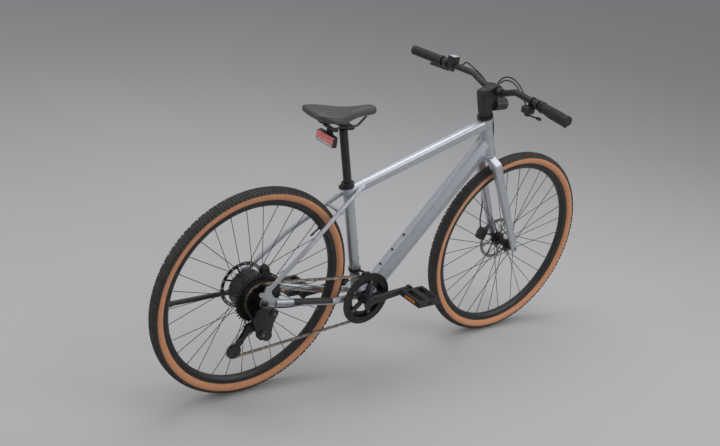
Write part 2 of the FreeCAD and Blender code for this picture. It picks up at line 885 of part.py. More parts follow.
TOP_TUBE_REAR = BOTTOM_BRACKET + SEAT_UP * worth("seat_tube_length - top_tube_drop")
top_tube = tapered_bar(
    TOP_TUBE_REAR,
    on_steering(head_bottom + size("top_tube_on_head_tube")),
    oblong(size("top_tube_rear_width"), size("top_tube_rear_depth")),
    oblong(size("top_tube_front_width"), size("top_tube_front_depth")),
    size("top_tube_corner"),
).cut(SEAT_CORE).cut(HEAD_CORE)
feature("top_tube", top_tube)


def ridged_section(width, keel):
    """The down tube's six corners: a narrow ridge above, wide flanks and a keel below."""
    ridge = size("down_tube_ridge_width") / 2
    half_depth = size("down_tube_depth") / 2
    flank = size("down_tube_flank_height")
    left = [(ridge, half_depth), (width / 2, flank), (keel / 2, -half_depth)]
    return left + [(-across, up) for across, up in reversed(left)]


DOWN_TUBE_LOW = BOTTOM_BRACKET + Vector(size("down_tube_low_ahead"), 0, -size("down_tube_low_drop"))
DOWN_TUBE_HIGH = on_steering(head_bottom + size("down_tube_on_head_tube"))
down_tube = tapered_bar(
    DOWN_TUBE_LOW,
    DOWN_TUBE_HIGH,
    ridged_section(size("down_tube_width"), size("down_tube_keel_width")),
    ridged_section(size("down_tube_head_width"), size("down_tube_head_keel")),
    size("down_tube_corner"),
).cut(SHELL_CORE).cut(SEAT_CORE).cut(HEAD_CORE)
feature("down_tube", down_tube)

# Rear triangle: dropouts, stays and the bridge between the stays
DROPOUT_CORNERS = [
    (-12, -14), (-14, 2), (-9, 20), (2, 52), (20, 54), (23, 26), (38, 8), (64, 0), (62, -24), (18, -22),
]
DROPOUT_INNER = size("dropout_offset")
DROPOUT_OUTER = size("dropout_offset") + size("dropout_thickness")
ACROSS_FRAME = ALONG_Y * (2 * DROPOUT_OUTER)
AXLE_HOLE = rod_through(REAR_AXLE, ACROSS_FRAME, running_fit("rear_axle_radius"))
EYELET_AT = from_axle(-size("eyelet_behind"), 0, size("eyelet_above"))
EYELET_HOLE = rod_through(EYELET_AT, ACROSS_FRAME, size("eyelet_radius"))
HANGER_FOOT = from_axle(size("hanger_ahead"), 0, -size("hanger_drop"))


def dropout(side):
    """A forged plate with the axle hole and a lug for the rack; the right one carries the derailleur hanger."""
    inner = side * DROPOUT_INNER
    outer = side * DROPOUT_OUTER
    corners = [from_axle(ahead, 0, above) for ahead, above in DROPOUT_CORNERS]
    lug_root = from_axle(0, 0, size("eyelet_above"))
    eyelet_lug = link_plate(lug_root, EYELET_AT, size("eyelet_lug_width"), inner, outer)
    pieces = [plate(corners, inner, outer), eyelet_lug]
    if side < 0:
        hanger_root = REAR_AXLE + (HANGER_FOOT - REAR_AXLE) / 3
        pieces.append(link_plate(hanger_root, HANGER_FOOT, size("hanger_width"), inner, outer))
    return joined(pieces).cut(AXLE_HOLE).cut(EYELET_HOLE)


DROPOUTS = {name: dropout(side) for name, side in SIDES.items()}
feature("dropouts", grouped(list(DROPOUTS.values())))


def chainstay_points(side):
    """A chainstay's corners: out of the shell, past the tyre and back to the dropout."""
    near_shell = [(-15, 26, 0), (-81, 33, 3), (-137, 47, 13)]
    points = [BOTTOM_BRACKET + Vector(ahead, side * beside, above) for ahead, beside, above in near_shell]
    return points + [from_axle(44, side * 70, -12)]


def seatstay_points(side):
    """A seatstay's corners: up from the dropout, over the tyre and past the seat tube to the top tube."""
    near_dropout = [(14, 70, 40), (150, 61, 158)]
    near_seat_tube = [(-16.2, 26.5, -19.1), (7.9, 15, 54.2)]
    points = [from_axle(ahead, side * beside, above) for ahead, beside, above in near_dropout]
    for up, beside, ahead in near_seat_tube:
        points.append(TOP_TUBE_REAR + SEAT_UP * up + ALONG_Y * side * beside + SEAT_FRONT * ahead)
    return points


chainstays = []
seatstays = []
for name, side in SIDES.items():
    lower_path = bent_path(chainstay_points(side), [size("chainstay_bend")] * 2)
    lower = oval_along(lower_path, size("chainstay_half_width"), size("chainstay_half_height"))
    chainstays.append(lower.cut(SHELL_CORE).cut(DROPOUTS[name]))
    upper = tube_along(bent_path(seatstay_points(side), [size("seatstay_bend")] * 2), size("seatstay_radius"))
    seatstays.append(upper.cut(SEAT_CORE).cut(top_tube).cut(DROPOUTS[name]))
feature("chainstays", grouped(chainstays))
over_tyre = seatstay_points(0)[2] - REAR_AXLE
bridge_at = REAR_AXLE + over_tyre.normalize() * worth("tyre_radius + bridge_gap")
bridge = rod_through(bridge_at, ALONG_Y * size("tyre_width"), size("bridge_radius"))
for upper in seatstays:
    bridge = bridge.cut(upper)
middle_piece = min(bridge.Solids, key=lambda solid: abs(solid.CenterOfMass.y))
feature("seatstays", grouped(seatstays + [middle_piece]))

# Seat clamp, bearings and small frame fittings
clamp_middle = BOTTOM_BRACKET + SEAT_UP * worth("seat_tube_length - seat_clamp_height / 2 - seat_clamp_drop")
clamp_band = ring(clamp_middle, SEAT_UP, size("seat_clamp_radius"), running_fit("seat_tube_radius"),
                  size("seat_clamp_height"))
lug_middle = clamp_middle - SEAT_FRONT * size("seat_clamp_lug_reach")
lug_height = worth("seat_clamp_height - seat_clamp_drop")
lug_lengths = (size("seat_clamp_lug_length"), size("seat_clamp_lug_width"), lug_height)
slit_lengths = (worth("2 * seat_clamp_lug_length"), size("seat_clamp_slit"), worth("2 * seat_clamp_height"))
half_bolt = ALONG_Y * (size("seat_clamp_bolt_length") / 2)
clamp_body = joined([clamp_band, block(lug_middle, lug_lengths, SEATING).cut(SEAT_CORE)])
clamp_body = clamp_body.cut(block(lug_middle, slit_lengths, SEATING).cut(SEAT_CORE))
clamp_bolt = rod_through(lug_middle, half_bolt, size("seat_clamp_bolt_radius"))
feature("seat_clamp", joined([clamp_body, clamp_bolt]))

bearing_bore = running_fit("steerer_radius")
bearing_outer = worth("head_tube_bore - running_clearance")
bearing_height = size("bearing_height")
cover_height = size("bearing_cover_height")
lower_middle = on_steering(head_bottom + bearing_height / 2)
upper_middle = on_steering(head_top - bearing_height / 2)
cover_middle = on_steering(head_top + cover_height / 2)
lower_bearing = ring(lower_middle, STEER_UP, bearing_outer, bearing_bore, bearing_height)
upper_bearing = ring(upper_middle, STEER_UP, bearing_outer, bearing_bore, bearing_height)
bearing_cover = ring(cover_middle, STEER_UP, size("bearing_cover_radius"), bearing_bore, cover_height)
feature("headset_bearings", grouped([lower_bearing, joined([upper_bearing, bearing_cover])]))

cups = []
cup_bore = running_fit("spindle_radius")
cup_outer = worth("bb_shell_bore - running_clearance")
for side in SIDES.values():
    sleeve_middle = BOTTOM_BRACKET + ALONG_Y * side * worth("bb_shell_width / 2 - bb_cup_depth / 2")
    flange_middle = BOTTOM_BRACKET + ALONG_Y * side * worth("bb_shell_width / 2 + bb_cup_flange / 2")
    sleeve = ring(sleeve_middle, ALONG_Y, cup_outer, cup_bore, size("bb_cup_depth"))
    flange = ring(flange_middle, ALONG_Y, size("bb_cup_radius"), cup_bore, size("bb_cup_flange"))
    cups.append(joined([sleeve, flange]))
feature("bottom_bracket_cups", grouped(cups))

DOWN_ALONG = (DOWN_TUBE_HIGH - DOWN_TUBE_LOW).normalize()
DOWN_RIDGE = Vector(-DOWN_ALONG.z, 0, DOWN_ALONG.x)


def bolt_row(count, first, along, outward):
    """Bolt heads in a row, standing on a tube's surface."""
    heads = []
    for index in range(count):
        seat = first + along * (index * size("bottle_bolt_spacing"))
        heads.append(rod(seat, seat + outward * size("bottle_bolt_head"), size("bottle_bolt_radius")))
    return heads


ridge_seat = DOWN_TUBE_LOW + DOWN_ALONG * size("down_tube_bolt_start") + DOWN_RIDGE * size("down_tube_depth") / 2
seat_tube_seat = BOTTOM_BRACKET + SEAT_UP * size("seat_tube_bolt_start") + SEAT_FRONT * size("seat_tube_radius")
bolts = bolt_row(3, ridge_seat, DOWN_ALONG, DOWN_RIDGE) + bolt_row(2, seat_tube_seat, SEAT_UP, SEAT_FRONT)
feature("bottle_bolts", grouped(bolts))


def caliper(axle, degrees, rotor_side, foot_end):
    """A disc brake caliper that straddles its rotor, with the foot that bolts it on."""
    angle = math.radians(degrees)
    disc_middle = axle + ALONG_Y * rotor_side
    middle = on_circle(disc_middle, worth("rotor_radius + caliper_overhang"), angle)
    turn = Placement(Vector(), Rotation(ALONG_X, middle - disc_middle))
    inner = size("caliper_inner")
    outer = size("caliper_outer")
    body_middle = middle + ALONG_Y * ((outer - inner) / 2)
    body_lengths = (size("caliper_depth"), outer + inner, size("caliper_length"))
    body = rounded_block(body_middle, body_lengths, size("caliper_corner"), turn)
    cap = rod(middle, middle + ALONG_Y * (outer + size("caliper_cap_height")), size("caliper_cap_radius"))
    foot = rod(middle + ALONG_Y * size("caliper_foot_offset"), foot_end, size("caliper_foot_radius"))
    half_slot = ALONG_Y * worth("rotor_thickness / 2 + rotor_clearance")
    slot = rod_through(disc_middle, half_slot, worth("rotor_radius + rotor_clearance"))
    return joined([body.cut(slot), cap.cut(slot), foot.cut(slot)])


left_stay = chainstay_points(1)
rear_foot = left_stay[3] + (left_stay[2] - left_stay[3]).normalize() * size("rear_caliper_foot")
rear_caliper = caliper(REAR_AXLE, size("rear_caliper_angle"), size("rear_rotor_offset"), rear_foot)
rear_caliper = rear_caliper.cut(chainstays[0]).cut(DROPOUTS["left"])
feature("rear_caliper", rear_caliper)

guide_band_at = BOTTOM_BRACKET + SEAT_UP * size("chain_guide_up")
guide_band = ring(guide_band_at, SEAT_UP, size("chain_guide_band_radius"), running_fit("seat_tube_radius"),
                  size("chain_guide_band_height"))
guide_length = size("chain_guide_length")
guide_thickness = size("chain_guide_thickness")
guide_middle = BOTTOM_BRACKET + CHAIN_SIDE + Vector(-size("chain_guide_behind"), 0, size("chain_guide_above"))
guide_roof = block(guide_middle, (guide_length, size("chain_guide_width"), guide_thickness))
cheek_middle = guide_middle + ALONG_Y * (size("chain_guide_width") / 2) - ALONG_Z * guide_thickness
guide_cheek = block(cheek_middle, (guide_length, size("chain_guide_cheek"), 2 * guide_thickness))
guide_arm = rod(guide_band_at, guide_middle, size("chain_guide_arm_radius")).cut(SEAT_CORE)
feature("chain_guide", joined([guide_band, guide_arm, guide_roof, guide_cheek]))

# Crankset, pedals and the sprockets


def pitch_radius(teeth):
    """The radius of the circle on which the chain's pins lie round a sprocket."""
    return size("chain_pitch") / (2 * math.sin(math.pi / teeth))


def toothed(teeth, centre, phase, bore):
    """A flat sprocket: one pointed tooth between each pair of rollers, with a gap at the phase angle."""
    reach = pitch_radius(teeth)
    root = reach - size("roller_radius") - size("tooth_root_gap")
    gap_half = 0.68 * size("roller_radius")
    tip = reach + size("roller_radius")
    corners = []
    for index in range(teeth):
        at_gap = phase + 2 * math.pi * index / teeth
        for angle, radius in ((at_gap - gap_half / root, root), (at_gap + gap_half / root, root),
                              (at_gap + math.pi / teeth, tip)):
            corners.append(centre + Vector(math.cos(angle), 0, math.sin(angle)) * radius)
    half = size("tooth_thickness") / 2
    disc = plate(corners, centre.y - half, centre.y + half)
    return disc.cut(Part.makeCylinder(bore, 4 * half, centre - ALONG_Y * 2 * half, ALONG_Y))


# Chain path round the chainring, the tension and guide pulleys and the driven sprocket, seen from the right
def flat(point):
    """A point of the chain's plane as (ahead, above)."""
    return (point.x, point.z)


def tangent_points(first, first_radius, first_turn, last, last_radius, last_turn):
    """Where the chain leaves one wheel and meets the next; turn is 1 clockwise seen from the right."""
    run_x = last[0] - first[0]
    run_z = last[1] - first[1]
    distance = math.hypot(run_x, run_z)
    heading = math.atan2(run_z, run_x)
    spread = first_radius * first_turn - last_radius * last_turn
    lean = math.asin(spread / distance)
    normal = heading + math.pi / 2 - lean

    def touch(centre, radius):
        return (centre[0] + radius * math.cos(normal), centre[1] + radius * math.sin(normal))

    return touch(first, first_turn * first_radius), touch(last, last_turn * last_radius)


GUIDE_AT = from_axle(size("guide_pulley_x"), 0, size("guide_pulley_z"))


def chain_wheels(cage_angle):
    """The wheels in the order in which the chain meets them: centre, pitch radius, turning sense."""
    tension = GUIDE_AT + Vector(math.cos(cage_angle), 0, math.sin(cage_angle)) * size("pulley_distance")
    pulley = pitch_radius(size("pulley_teeth"))
    return [
        (flat(BOTTOM_BRACKET), pitch_radius(size("chainring_teeth")), 1),
        (flat(tension), pulley, 1),
        (flat(GUIDE_AT), pulley, -1),
        (flat(REAR_AXLE), pitch_radius(size("driven_teeth")), 1),
    ]


def chain_spans(cage_angle):
    """The closed path as spans: arcs (centre, radius, start angle, sweep) and straight runs (start, end)."""
    wheels = chain_wheels(cage_angle)
    count = len(wheels)
    runs = []
    for index in range(count):
        runs.append(tangent_points(*wheels[index], *wheels[(index + 1) % count]))
    spans = []
    for index, (centre, radius, turn) in enumerate(wheels):
        meets = runs[index - 1][1]
        leaves = runs[index][0]
        begin = math.atan2(meets[1] - centre[1], meets[0] - centre[0])
        finish = math.atan2(leaves[1] - centre[1], leaves[0] - centre[0])
        sweep = -turn * ((begin - finish) * turn % (2 * math.pi))
        spans.append(("arc", centre, radius, begin, sweep))
        spans.append(("run", runs[index][0], runs[index][1]))
    return spans


def span_length(span):
    """How much chain lies on one span."""
    if span[0] == "arc":
        return span[2] * abs(span[4])
    return math.dist(span[1], span[2])


def point_on(spans, distance):
    """The point at a distance along the closed path."""
    distance %= sum(span_length(span) for span in spans)
    for span in spans:
        length = span_length(span)
        if distance <= length:
            break
        distance -= length
    share = distance / length
    if span[0] == "arc":
        angle = span[3] + span[4] * share
        return (span[1][0] + span[2] * math.cos(angle), span[1][1] + span[2] * math.sin(angle))
    return tuple(a + (b - a) * share for a, b in zip(span[1], span[2]))


def pin_places(spans, links):
    """The distances along the path at which the pins lie, each one pitch from the last."""
    pitch = size("chain_pitch")
    places = [0.0]
    for _ in range(links):
        here = point_on(spans, places[-1])
        low = places[-1] + 0.8 * pitch
        high = places[-1] + 1.3 * pitch
        for _ in range(50):
            middle = (low + high) / 2
            if math.dist(here, point_on(spans, middle)) < pitch:
                low = middle
            else:
                high = middle
        places.append((low + high) / 2)
    return places


def slack(cage_angle, links):
    """How far the last pin overshoots the first one."""
    spans = chain_spans(cage_angle)
    return pin_places(spans, links)[-1] - sum(span_length(span) for span in spans)


NOMINAL_CAGE = math.radians(-125)
nominal_length = sum(span_length(span) for span in chain_spans(NOMINAL_CAGE))
LINKS = 2 * round(nominal_length / size("chain_pitch") / 2)
low_angle = NOMINAL_CAGE - 0.6
high_angle = NOMINAL_CAGE + 0.6
low_slack = slack(low_angle, LINKS)
for _ in range(40):
    cage_angle = (low_angle + high_angle) / 2
    if (slack(cage_angle, LINKS) > 0) == (low_slack > 0):
        low_angle = cage_angle
    else:
        high_angle = cage_angle
SPANS = chain_spans(cage_angle)
PINS = [point_on(SPANS, place) for place in pin_places(SPANS, LINKS)[:-1]]
TENSION_AT = GUIDE_AT + Vector(math.cos(cage_angle), 0, math.sin(cage_angle)) * size("pulley_distance")
print("chain links", LINKS, "cage angle", round(math.degrees(cage_angle), 2))
print("tension pulley", [round(place / 1000, 6) for place in TENSION_AT + CHAIN_SIDE])


def pin_phase(centre, radius):
    """The angle of a pin that lies well within the chain's wrap on a wheel."""
    on_wheel = [pin for pin in PINS if abs(math.dist(pin, flat(centre)) - radius) < 1e-3]
    pin = on_wheel[len(on_wheel) // 2]
    return math.atan2(pin[1] - centre.z, pin[0] - centre.x)


def six_sided(centre, radius, inner, outer, phase):
    """A six-sided roller across the chain."""
    corners = []
    for corner in range(6):
        angle = phase + corner * math.pi / 3
        corners.append(centre + Vector(math.cos(angle), 0, math.sin(angle)) * radius)
    return plate(corners, inner, outer)


def chain_link(first, last, inner_face):
    """Two side plates over a pair of pins, each outside the given distance from the chain's middle."""
    along = (last - first).normalize()
    up = along.cross(ALONG_Y)
    half = size("chain_plate_height") / 2
    corners = [
        first - along * half, first - along * (half / 4) + up * half, last + along * (half / 4) + up * half,
        last + along * half, last + along * (half / 4) - up * half, first - along * (half / 4) - up * half,
    ]
    middle = -size("chain_line")
    outer_face = inner_face + size("chain_plate_thickness")
    return [plate(corners, middle + side * inner_face, middle + side * outer_face) for side in SIDES.values()]


chain_pieces = []
inner_face = size("chain_inner_width") / 2
outer_face = inner_face + size("chain_plate_thickness") + size("chain_layer_gap")
for index, pin in enumerate(PINS):
    here = Vector(pin[0], 0, pin[1])
    ahead = Vector(PINS[(index + 1) % LINKS][0], 0, PINS[(index + 1) % LINKS][1])
    chain_pieces += chain_link(here, ahead, outer_face if index % 2 else inner_face)
    heading = math.atan2(ahead.z - here.z, ahead.x - here.x)
    half = inner_face - size("running_clearance")
    near = -size("chain_line") + half
    far = -size("chain_line") - half
    chain_pieces.append(six_sided(here, size("roller_radius"), far, near, heading + math.pi / 6))
feature("chain", grouped(chain_pieces))

COGS = [42, 34, int(size("driven_teeth")), 21, 18, 15, 13, 11]
DRIVEN = COGS.index(int(size("driven_teeth")))
driven_phase = pin_phase(REAR_AXLE, pitch_radius(size("driven_teeth")))
sprockets = []
for index, teeth in enumerate(COGS):
    beside = -size("chain_line") - (index - DRIVEN) * size("sprocket_spacing")
    sprockets.append(toothed(teeth, REAR_AXLE + ALONG_Y * beside, driven_phase, size("sprocket_bore")))
freehub_start = -size("chain_line") + (DRIVEN + 1) * size("sprocket_spacing") - size("freehub_lip")
last_cog = -size("chain_line") - (len(COGS) - 1 - DRIVEN) * size("sprocket_spacing")
freehub_end = last_cog - worth("tooth_thickness / 2 + seat_gap")
freehub_middle = REAR_AXLE + ALONG_Y * (freehub_start + freehub_end) / 2
freehub_radius = worth("sprocket_bore - running_clearance")
freehub = ring(freehub_middle, ALONG_Y, freehub_radius, running_fit("rear_axle_radius"), freehub_start - freehub_end)
feature("cassette", grouped(sprockets + [freehub]))

arm_half = size("crank_arm_thickness") / 2
arm_middle = size("crank_inner_face") + arm_half
chainring_face = -size("chain_line") - size("tooth_thickness") / 2 - size("seat_gap")
spider_face = chainring_face - size("spider_thickness")
ring_phase = pin_phase(BOTTOM_BRACKET, pitch_radius(size("chainring_teeth")))
ring_teeth = int(size("chainring_teeth"))
chainring = toothed(ring_teeth, BOTTOM_BRACKET + CHAIN_SIDE, ring_phase, size("chainring_bore"))
guard_middle = BOTTOM_BRACKET + ALONG_Y * (spider_face - worth("seat_gap + guard_thickness / 2"))
chain_guard = ring(guard_middle, ALONG_Y, size("guard_radius"), size("guard_bore"), size("guard_thickness"))
feature("chainring", grouped([chainring, chain_guard]))


def crank_arm(side):
    """A forged arm from the spindle to the pedal's eye, with the pedal's spindle screwed in."""
    start = BOTTOM_BRACKET + ALONG_Y * side * arm_middle
    end = start - PEDAL_ARM * side
    root = oblong(2 * arm_half, size("crank_arm_root_depth"))
    tip = oblong(2 * arm_half - size("crank_arm_corner") / 2, size("crank_arm_end_depth"))
    bar = tapered_bar(start, end, root, tip, size("crank_arm_corner"))
    boss = ring(start, ALONG_Y, size("crank_boss_radius"), size("crank_bolt_bore"), 2 * arm_half)
    eye = rod_through(end, ALONG_Y * arm_half, size("crank_eye_radius"))
    reach = arm_half + worth("pedal_gap + pedal_width - pedal_spindle_inset")
    pedal_spindle = rod(end, end + ALONG_Y * side * reach, size("pedal_spindle_radius"))
    return [bar, boss, eye, pedal_spindle]


spindle_end = BOTTOM_BRACKET + ALONG_Y * (arm_middle + arm_half - size("spindle_inset"))
spindle = rod(BOTTOM_BRACKET - ALONG_Y * arm_middle, spindle_end, size("spindle_radius"))
boss_start = BOTTOM_BRACKET + ALONG_Y * chainring_face
spider = [rod(boss_start, BOTTOM_BRACKET - ALONG_Y * arm_middle, size("crank_boss_radius"))]
arms = int(size("spider_arms"))
for index in range(arms):
    tip = on_circle(BOTTOM_BRACKET, size("spider_radius"), PEDAL_ANGLE + 2 * math.pi * index / arms)
    spider.append(link_plate(BOTTOM_BRACKET, tip, size("spider_arm_width"), chainring_face, spider_face))
feature("crank_right", joined(crank_arm(-1) + [spindle] + spider))
seat_reach = ALONG_Y * (2 * arm_middle)
spindle_seat = rod_through(BOTTOM_BRACKET, seat_reach, running_fit("spindle_radius"))
feature("crank_left", joined(crank_arm(1)).cut(spindle_seat))


def pedal(side):
    """A platform pedal: a cage of rails round the spindle's sleeve, with a long window on each side of it."""
    outer_face = worth("crank_inner_face + crank_arm_thickness + pedal_gap + pedal_width / 2")
    middle = BOTTOM_BRACKET - PEDAL_ARM * side + ALONG_Y * side * outer_face
    length = size("pedal_length")
    width = size("pedal_width")
    rail = size("pedal_rail")
    body = block(middle, (length, width, size("pedal_thickness")))
    window_length = length / 2 - rail - worth("pedal_spindle_radius + pedal_sleeve_wall")
    window = (window_length, width - 2 * rail, 2 * size("pedal_thickness"))
    for way in (-1, 1):
        body = body.cut(block(middle + ALONG_X * way * (length / 2 - rail - window_length / 2), window))
    bore = rod_through(middle, ALONG_Y * width, running_fit("pedal_spindle_radius"))
    return body.cut(bore)


for name, side in SIDES.items():
    feature(f"pedal_{name}", pedal(side))

# Derailleur and its two toothed pulleys
cage_inner = size("cage_gap")
cage_outer = worth("cage_gap + cage_thickness")
pulley_pin = worth("pulley_bore - running_clearance")
CAGE_PIVOT = from_axle(size("cage_pivot_ahead"), 0, -size("cage_pivot_drop"))
cage = []
for side in SIDES.values():
    near = -size("chain_line") + side * cage_inner
    far = -size("chain_line") + side * cage_outer
    cage.append(link_plate(GUIDE_AT, TENSION_AT, size("cage_bar_width"), near, far))
    cage.append(link_plate(CAGE_PIVOT, GUIDE_AT, size("cage_bar_width"), near, far))
    cage.append(rod(TENSION_AT + ALONG_Y * near, TENSION_AT + ALONG_Y * far, size("cage_tension_disc")))
guide_cover = GUIDE_AT + CHAIN_SIDE
cage.append(rod(guide_cover - ALONG_Y * cage_inner, guide_cover - ALONG_Y * cage_outer, size("cage_guide_disc")))
for centre in (GUIDE_AT, TENSION_AT):
    middle = centre + CHAIN_SIDE
    cage.append(rod_through(middle, ALONG_Y * cage_inner, pulley_pin))
feature("derailleur_cage", joined(cage))

for name, centre in (("guide_pulley", GUIDE_AT), ("tension_pulley", TENSION_AT)):
    middle = centre + CHAIN_SIDE
    phase = pin_phase(centre, pitch_radius(size("pulley_teeth")))
    wheel = toothed(int(size("pulley_teeth")), middle, phase, size("pulley_bore"))
    hub_length = 2 * (cage_inner - size("seat_gap"))
    hub = ring(middle, ALONG_Y, size("pulley_hub_radius"), size("pulley_bore"), hub_length)
    feature(name, joined([wheel, hub]))

knuckle_face = -size("chain_line") - cage_outer - size("seat_gap")
body_inner = -DROPOUT_OUTER - size("seat_gap")
body_outer = body_inner - size("derailleur_width")
link_depth = size("derailleur_link_thickness")
feature("derailleur_body", joined([
    rod(HANGER_FOOT + ALONG_Y * body_inner, HANGER_FOOT + ALONG_Y * body_outer, size("derailleur_upper_radius")),
    rod(CAGE_PIVOT + ALONG_Y * knuckle_face, CAGE_PIVOT + ALONG_Y * body_outer, size("derailleur_lower_radius")),
    link_plate(HANGER_FOOT, CAGE_PIVOT, size("derailleur_inner_link"), body_inner, body_inner - link_depth),
    link_plate(HANGER_FOOT, CAGE_PIVOT, size("derailleur_outer_link"), body_outer + link_depth, body_outer),
]))

# Kickstand on the left, folded back beside the wheel
KICKSTAND_AT = from_axle(size("kickstand_x"), 0, size("kickstand_z"))
BRACKET_CORNERS = [(-18, 32), (22, 36), (22, -12), (-16, -14)]
kick_inner = size("kickstand_inner_face")
kick_outer = worth("kickstand_inner_face + kickstand_eye_width")
bracket_face = DROPOUT_OUTER + size("seat_gap")
bracket = plate([KICKSTAND_AT + Vector(ahead, 0, above) for ahead, above in BRACKET_CORNERS], bracket_face,
                kick_inner - size("seat_gap"))
pin_end = KICKSTAND_AT + ALONG_Y * (kick_outer + size("kickstand_pin_overhang"))
bracket_pin = rod(KICKSTAND_AT + ALONG_Y * bracket_face, pin_end, size("kickstand_pin_radius"))
feature("kickstand_bracket", joined([bracket, bracket_pin]).cut(chainstays[0]))
eye = rod(KICKSTAND_AT + ALONG_Y * kick_inner, KICKSTAND_AT + ALONG_Y * kick_outer, size("kickstand_eye_radius"))
eye_middle = KICKSTAND_AT + ALONG_Y * (kick_inner + kick_outer) / 2
leg_end = eye_middle - ALONG_X * size("kickstand_length")
leg = rod(eye_middle, leg_end, size("kickstand_radius"))
foot = rod(leg_end + ALONG_X * size("kickstand_foot_length"), leg_end, size("kickstand_foot_radius"))
pin_hole = rod(KICKSTAND_AT, KICKSTAND_AT + ALONG_Y * 2 * kick_outer, running_fit("kickstand_pin_radius"))
feature("kickstand", joined([eye, leg, foot]).cut(pin_hole))

# Fork: steerer and crown, legs and caliper
crown_top = head_bottom - size("seat_gap")
crown_bottom = worth(f"{ARCH_LEVEL} - crown_skirt")
crown_half = size("crown_half_width")
shoulder = crown_top - size("crown_shoulder_drop")
arch_half = worth("fork_top_spread - fork_top_width / 2")
CROWN_OUTLINE = [
    (size("crown_top_half"), crown_top),
    (crown_half - size("crown_shoulder_depth") / 4, shoulder),
    (crown_half, shoulder - size("crown_shoulder_depth")),
    (crown_half, crown_bottom),
    (arch_half, crown_bottom),
    (arch_half - size("crown_arch_slope"), worth(ARCH_LEVEL)),
]
crown_outline = CROWN_OUTLINE + [(-beside, height) for beside, height in reversed(CROWN_OUTLINE)]
crown_back = -size("crown_depth") / 2
crown_corners = [on_steering(height, crown_back, beside) for beside, height in crown_outline]
crown_face = Part.Face(Part.makePolygon(crown_corners + [crown_corners[0]]))
crown_blank = crown_face.extrude(STEER_AHEAD * size("crown_depth"))


def on_shoulder(edge):
    """Whether an edge of the crown follows its sloping shoulders, front or back."""
    ends = [vertex.Point - STEER_FOOT for vertex in edge.Vertexes]
    lowest = min(end.dot(STEER_UP) for end in ends)
    level_run = abs((ends[1] - ends[0]).dot(STEER_AHEAD))
    return lowest > crown_bottom + size("crown_shoulder_depth") / 4 and level_run < size("crown_depth") / 2


crown = crown_blank.makeFillet(size("crown_edge"), [edge for edge in crown_blank.Edges if on_shoulder(edge)])
race_bottom = on_steering(crown_top - size("crown_race_height"))
race = rod(race_bottom, on_steering(crown_top), size("crown_race_radius"))
steerer_end = worth(f"{STEM_TOP} - steerer_inset")
steerer = rod(race_bottom, on_steering(steerer_end), size("steerer_radius"))
feature("fork_crown", joined([crown, race, steerer]))

legs = []
axle_reach = ALONG_Y * size("front_axle_length")
front_axle_hole = rod_through(FRONT_AXLE, axle_reach, running_fit("front_axle_radius"))
leg_top_section = oblong(size("fork_top_width"), size("fork_top_depth"))
leg_end_section = oblong(size("fork_bottom_width"), size("fork_bottom_depth"))
for side in SIDES.values():
    top = on_steering(crown_bottom + size("fork_leg_overlap"), 0, side * size("fork_top_spread"))
    bottom = FRONT_AXLE + ALONG_Y * side * size("fork_bottom_spread")
    beyond = bottom + (bottom - top).normalize() * size("fork_tip_length")
    leg = tapered_bar(top, beyond, leg_top_section, leg_end_section, size("fork_corner"))
    legs.append(leg.cut(crown).cut(front_axle_hole))
feature("fork_legs", grouped(legs))

left_leg_foot = FRONT_AXLE + ALONG_Y * size("fork_bottom_spread")
left_leg_up = (on_steering(crown_bottom, 0, size("fork_top_spread")) - left_leg_foot).normalize()
front_caliper = caliper(FRONT_AXLE, size("front_caliper_angle"), size("front_rotor_offset"),
                        left_leg_foot + left_leg_up * size("front_caliper_foot"))
front_caliper = front_caliper.cut(legs[0])
feature("front_caliper", front_caliper)

# Spacer, stem and handlebar
spacer_middle = head_top + cover_height + worth("seat_gap + spacer_height / 2")
feature("headset_spacer", ring(on_steering(spacer_middle), STEER_UP, size("spacer_radius"), bearing_bore,
                               size("spacer_height")))
stem_blank = padded_blank(
    "stem_blank",
    [
        ("-stem_half_depth", STEM_BOTTOM),
        ("stem_half_depth", STEM_BOTTOM),
        ("stem_half_depth", f"{STEM_BOTTOM} + stem_column_height"),
        ("stem_reach - stem_clamp_radius / 2", f"{CLAMP_LEVEL} - stem_clamp_radius"),
        ("stem_reach", f"{CLAMP_LEVEL} + stem_clamp_radius"),
        ("-stem_half_depth", STEM_TOP),
    ],
    "stem_width",
    STEERING,
)
doc.recompute()
upright_edges = []
for edge in stem_blank.Shape.Edges:
    if abs(edge.tangentAt(edge.FirstParameter).dot(STEER_UP)) > 0.99:
        upright_edges.append(edge)
stem_column = stem_blank.Shape.makeFillet(size("stem_edge"), upright_edges)
BAR_MIDDLE = on_steering(worth(CLAMP_LEVEL), size("stem_reach"))
clamp_reach = ALONG_Y * worth("stem_width / 2 + stem_clamp_lip")
stem = joined([stem_column, rod_through(BAR_MIDDLE, clamp_reach, size("stem_clamp_radius"))])
stem = stem.cut(rod(on_steering(head_top), on_steering(steerer_end + size("seat_gap")), bearing_bore))
stem = stem.cut(rod(BAR_MIDDLE - clamp_reach * 2, BAR_MIDDLE + clamp_reach * 2,
                    running_fit("bar_clamp_radius")))
feature("stem", stem)


def bar_points(side):
    """The handlebar's corners on one side: end of the clamp, end of the rise, end of the bar."""
    inner = BAR_MIDDLE + ALONG_Y * side * size("bar_clamp_half")
    bend = BAR_MIDDLE + Vector(-size("bar_bend_back"), side * size("bar_bend_out"), size("bar_rise"))
    end = bend + Vector(-size("bar_sweep"), side * worth("bar_half_width - bar_bend_out"), 0)
    return [inner, bend, end]


def bar_at(side, beside):
    """A point on the handlebar's outer run, by its distance from the middle."""
    inner, bend, end = bar_points(side)
    return bend + (end - bend) * ((beside - size("bar_bend_out")) / worth("bar_half_width - bar_bend_out"))


def bar_along(side):
    """The direction of the handlebar's outer run, outwards."""
    inner, bend, end = bar_points(side)
    return (end - bend).normalize()


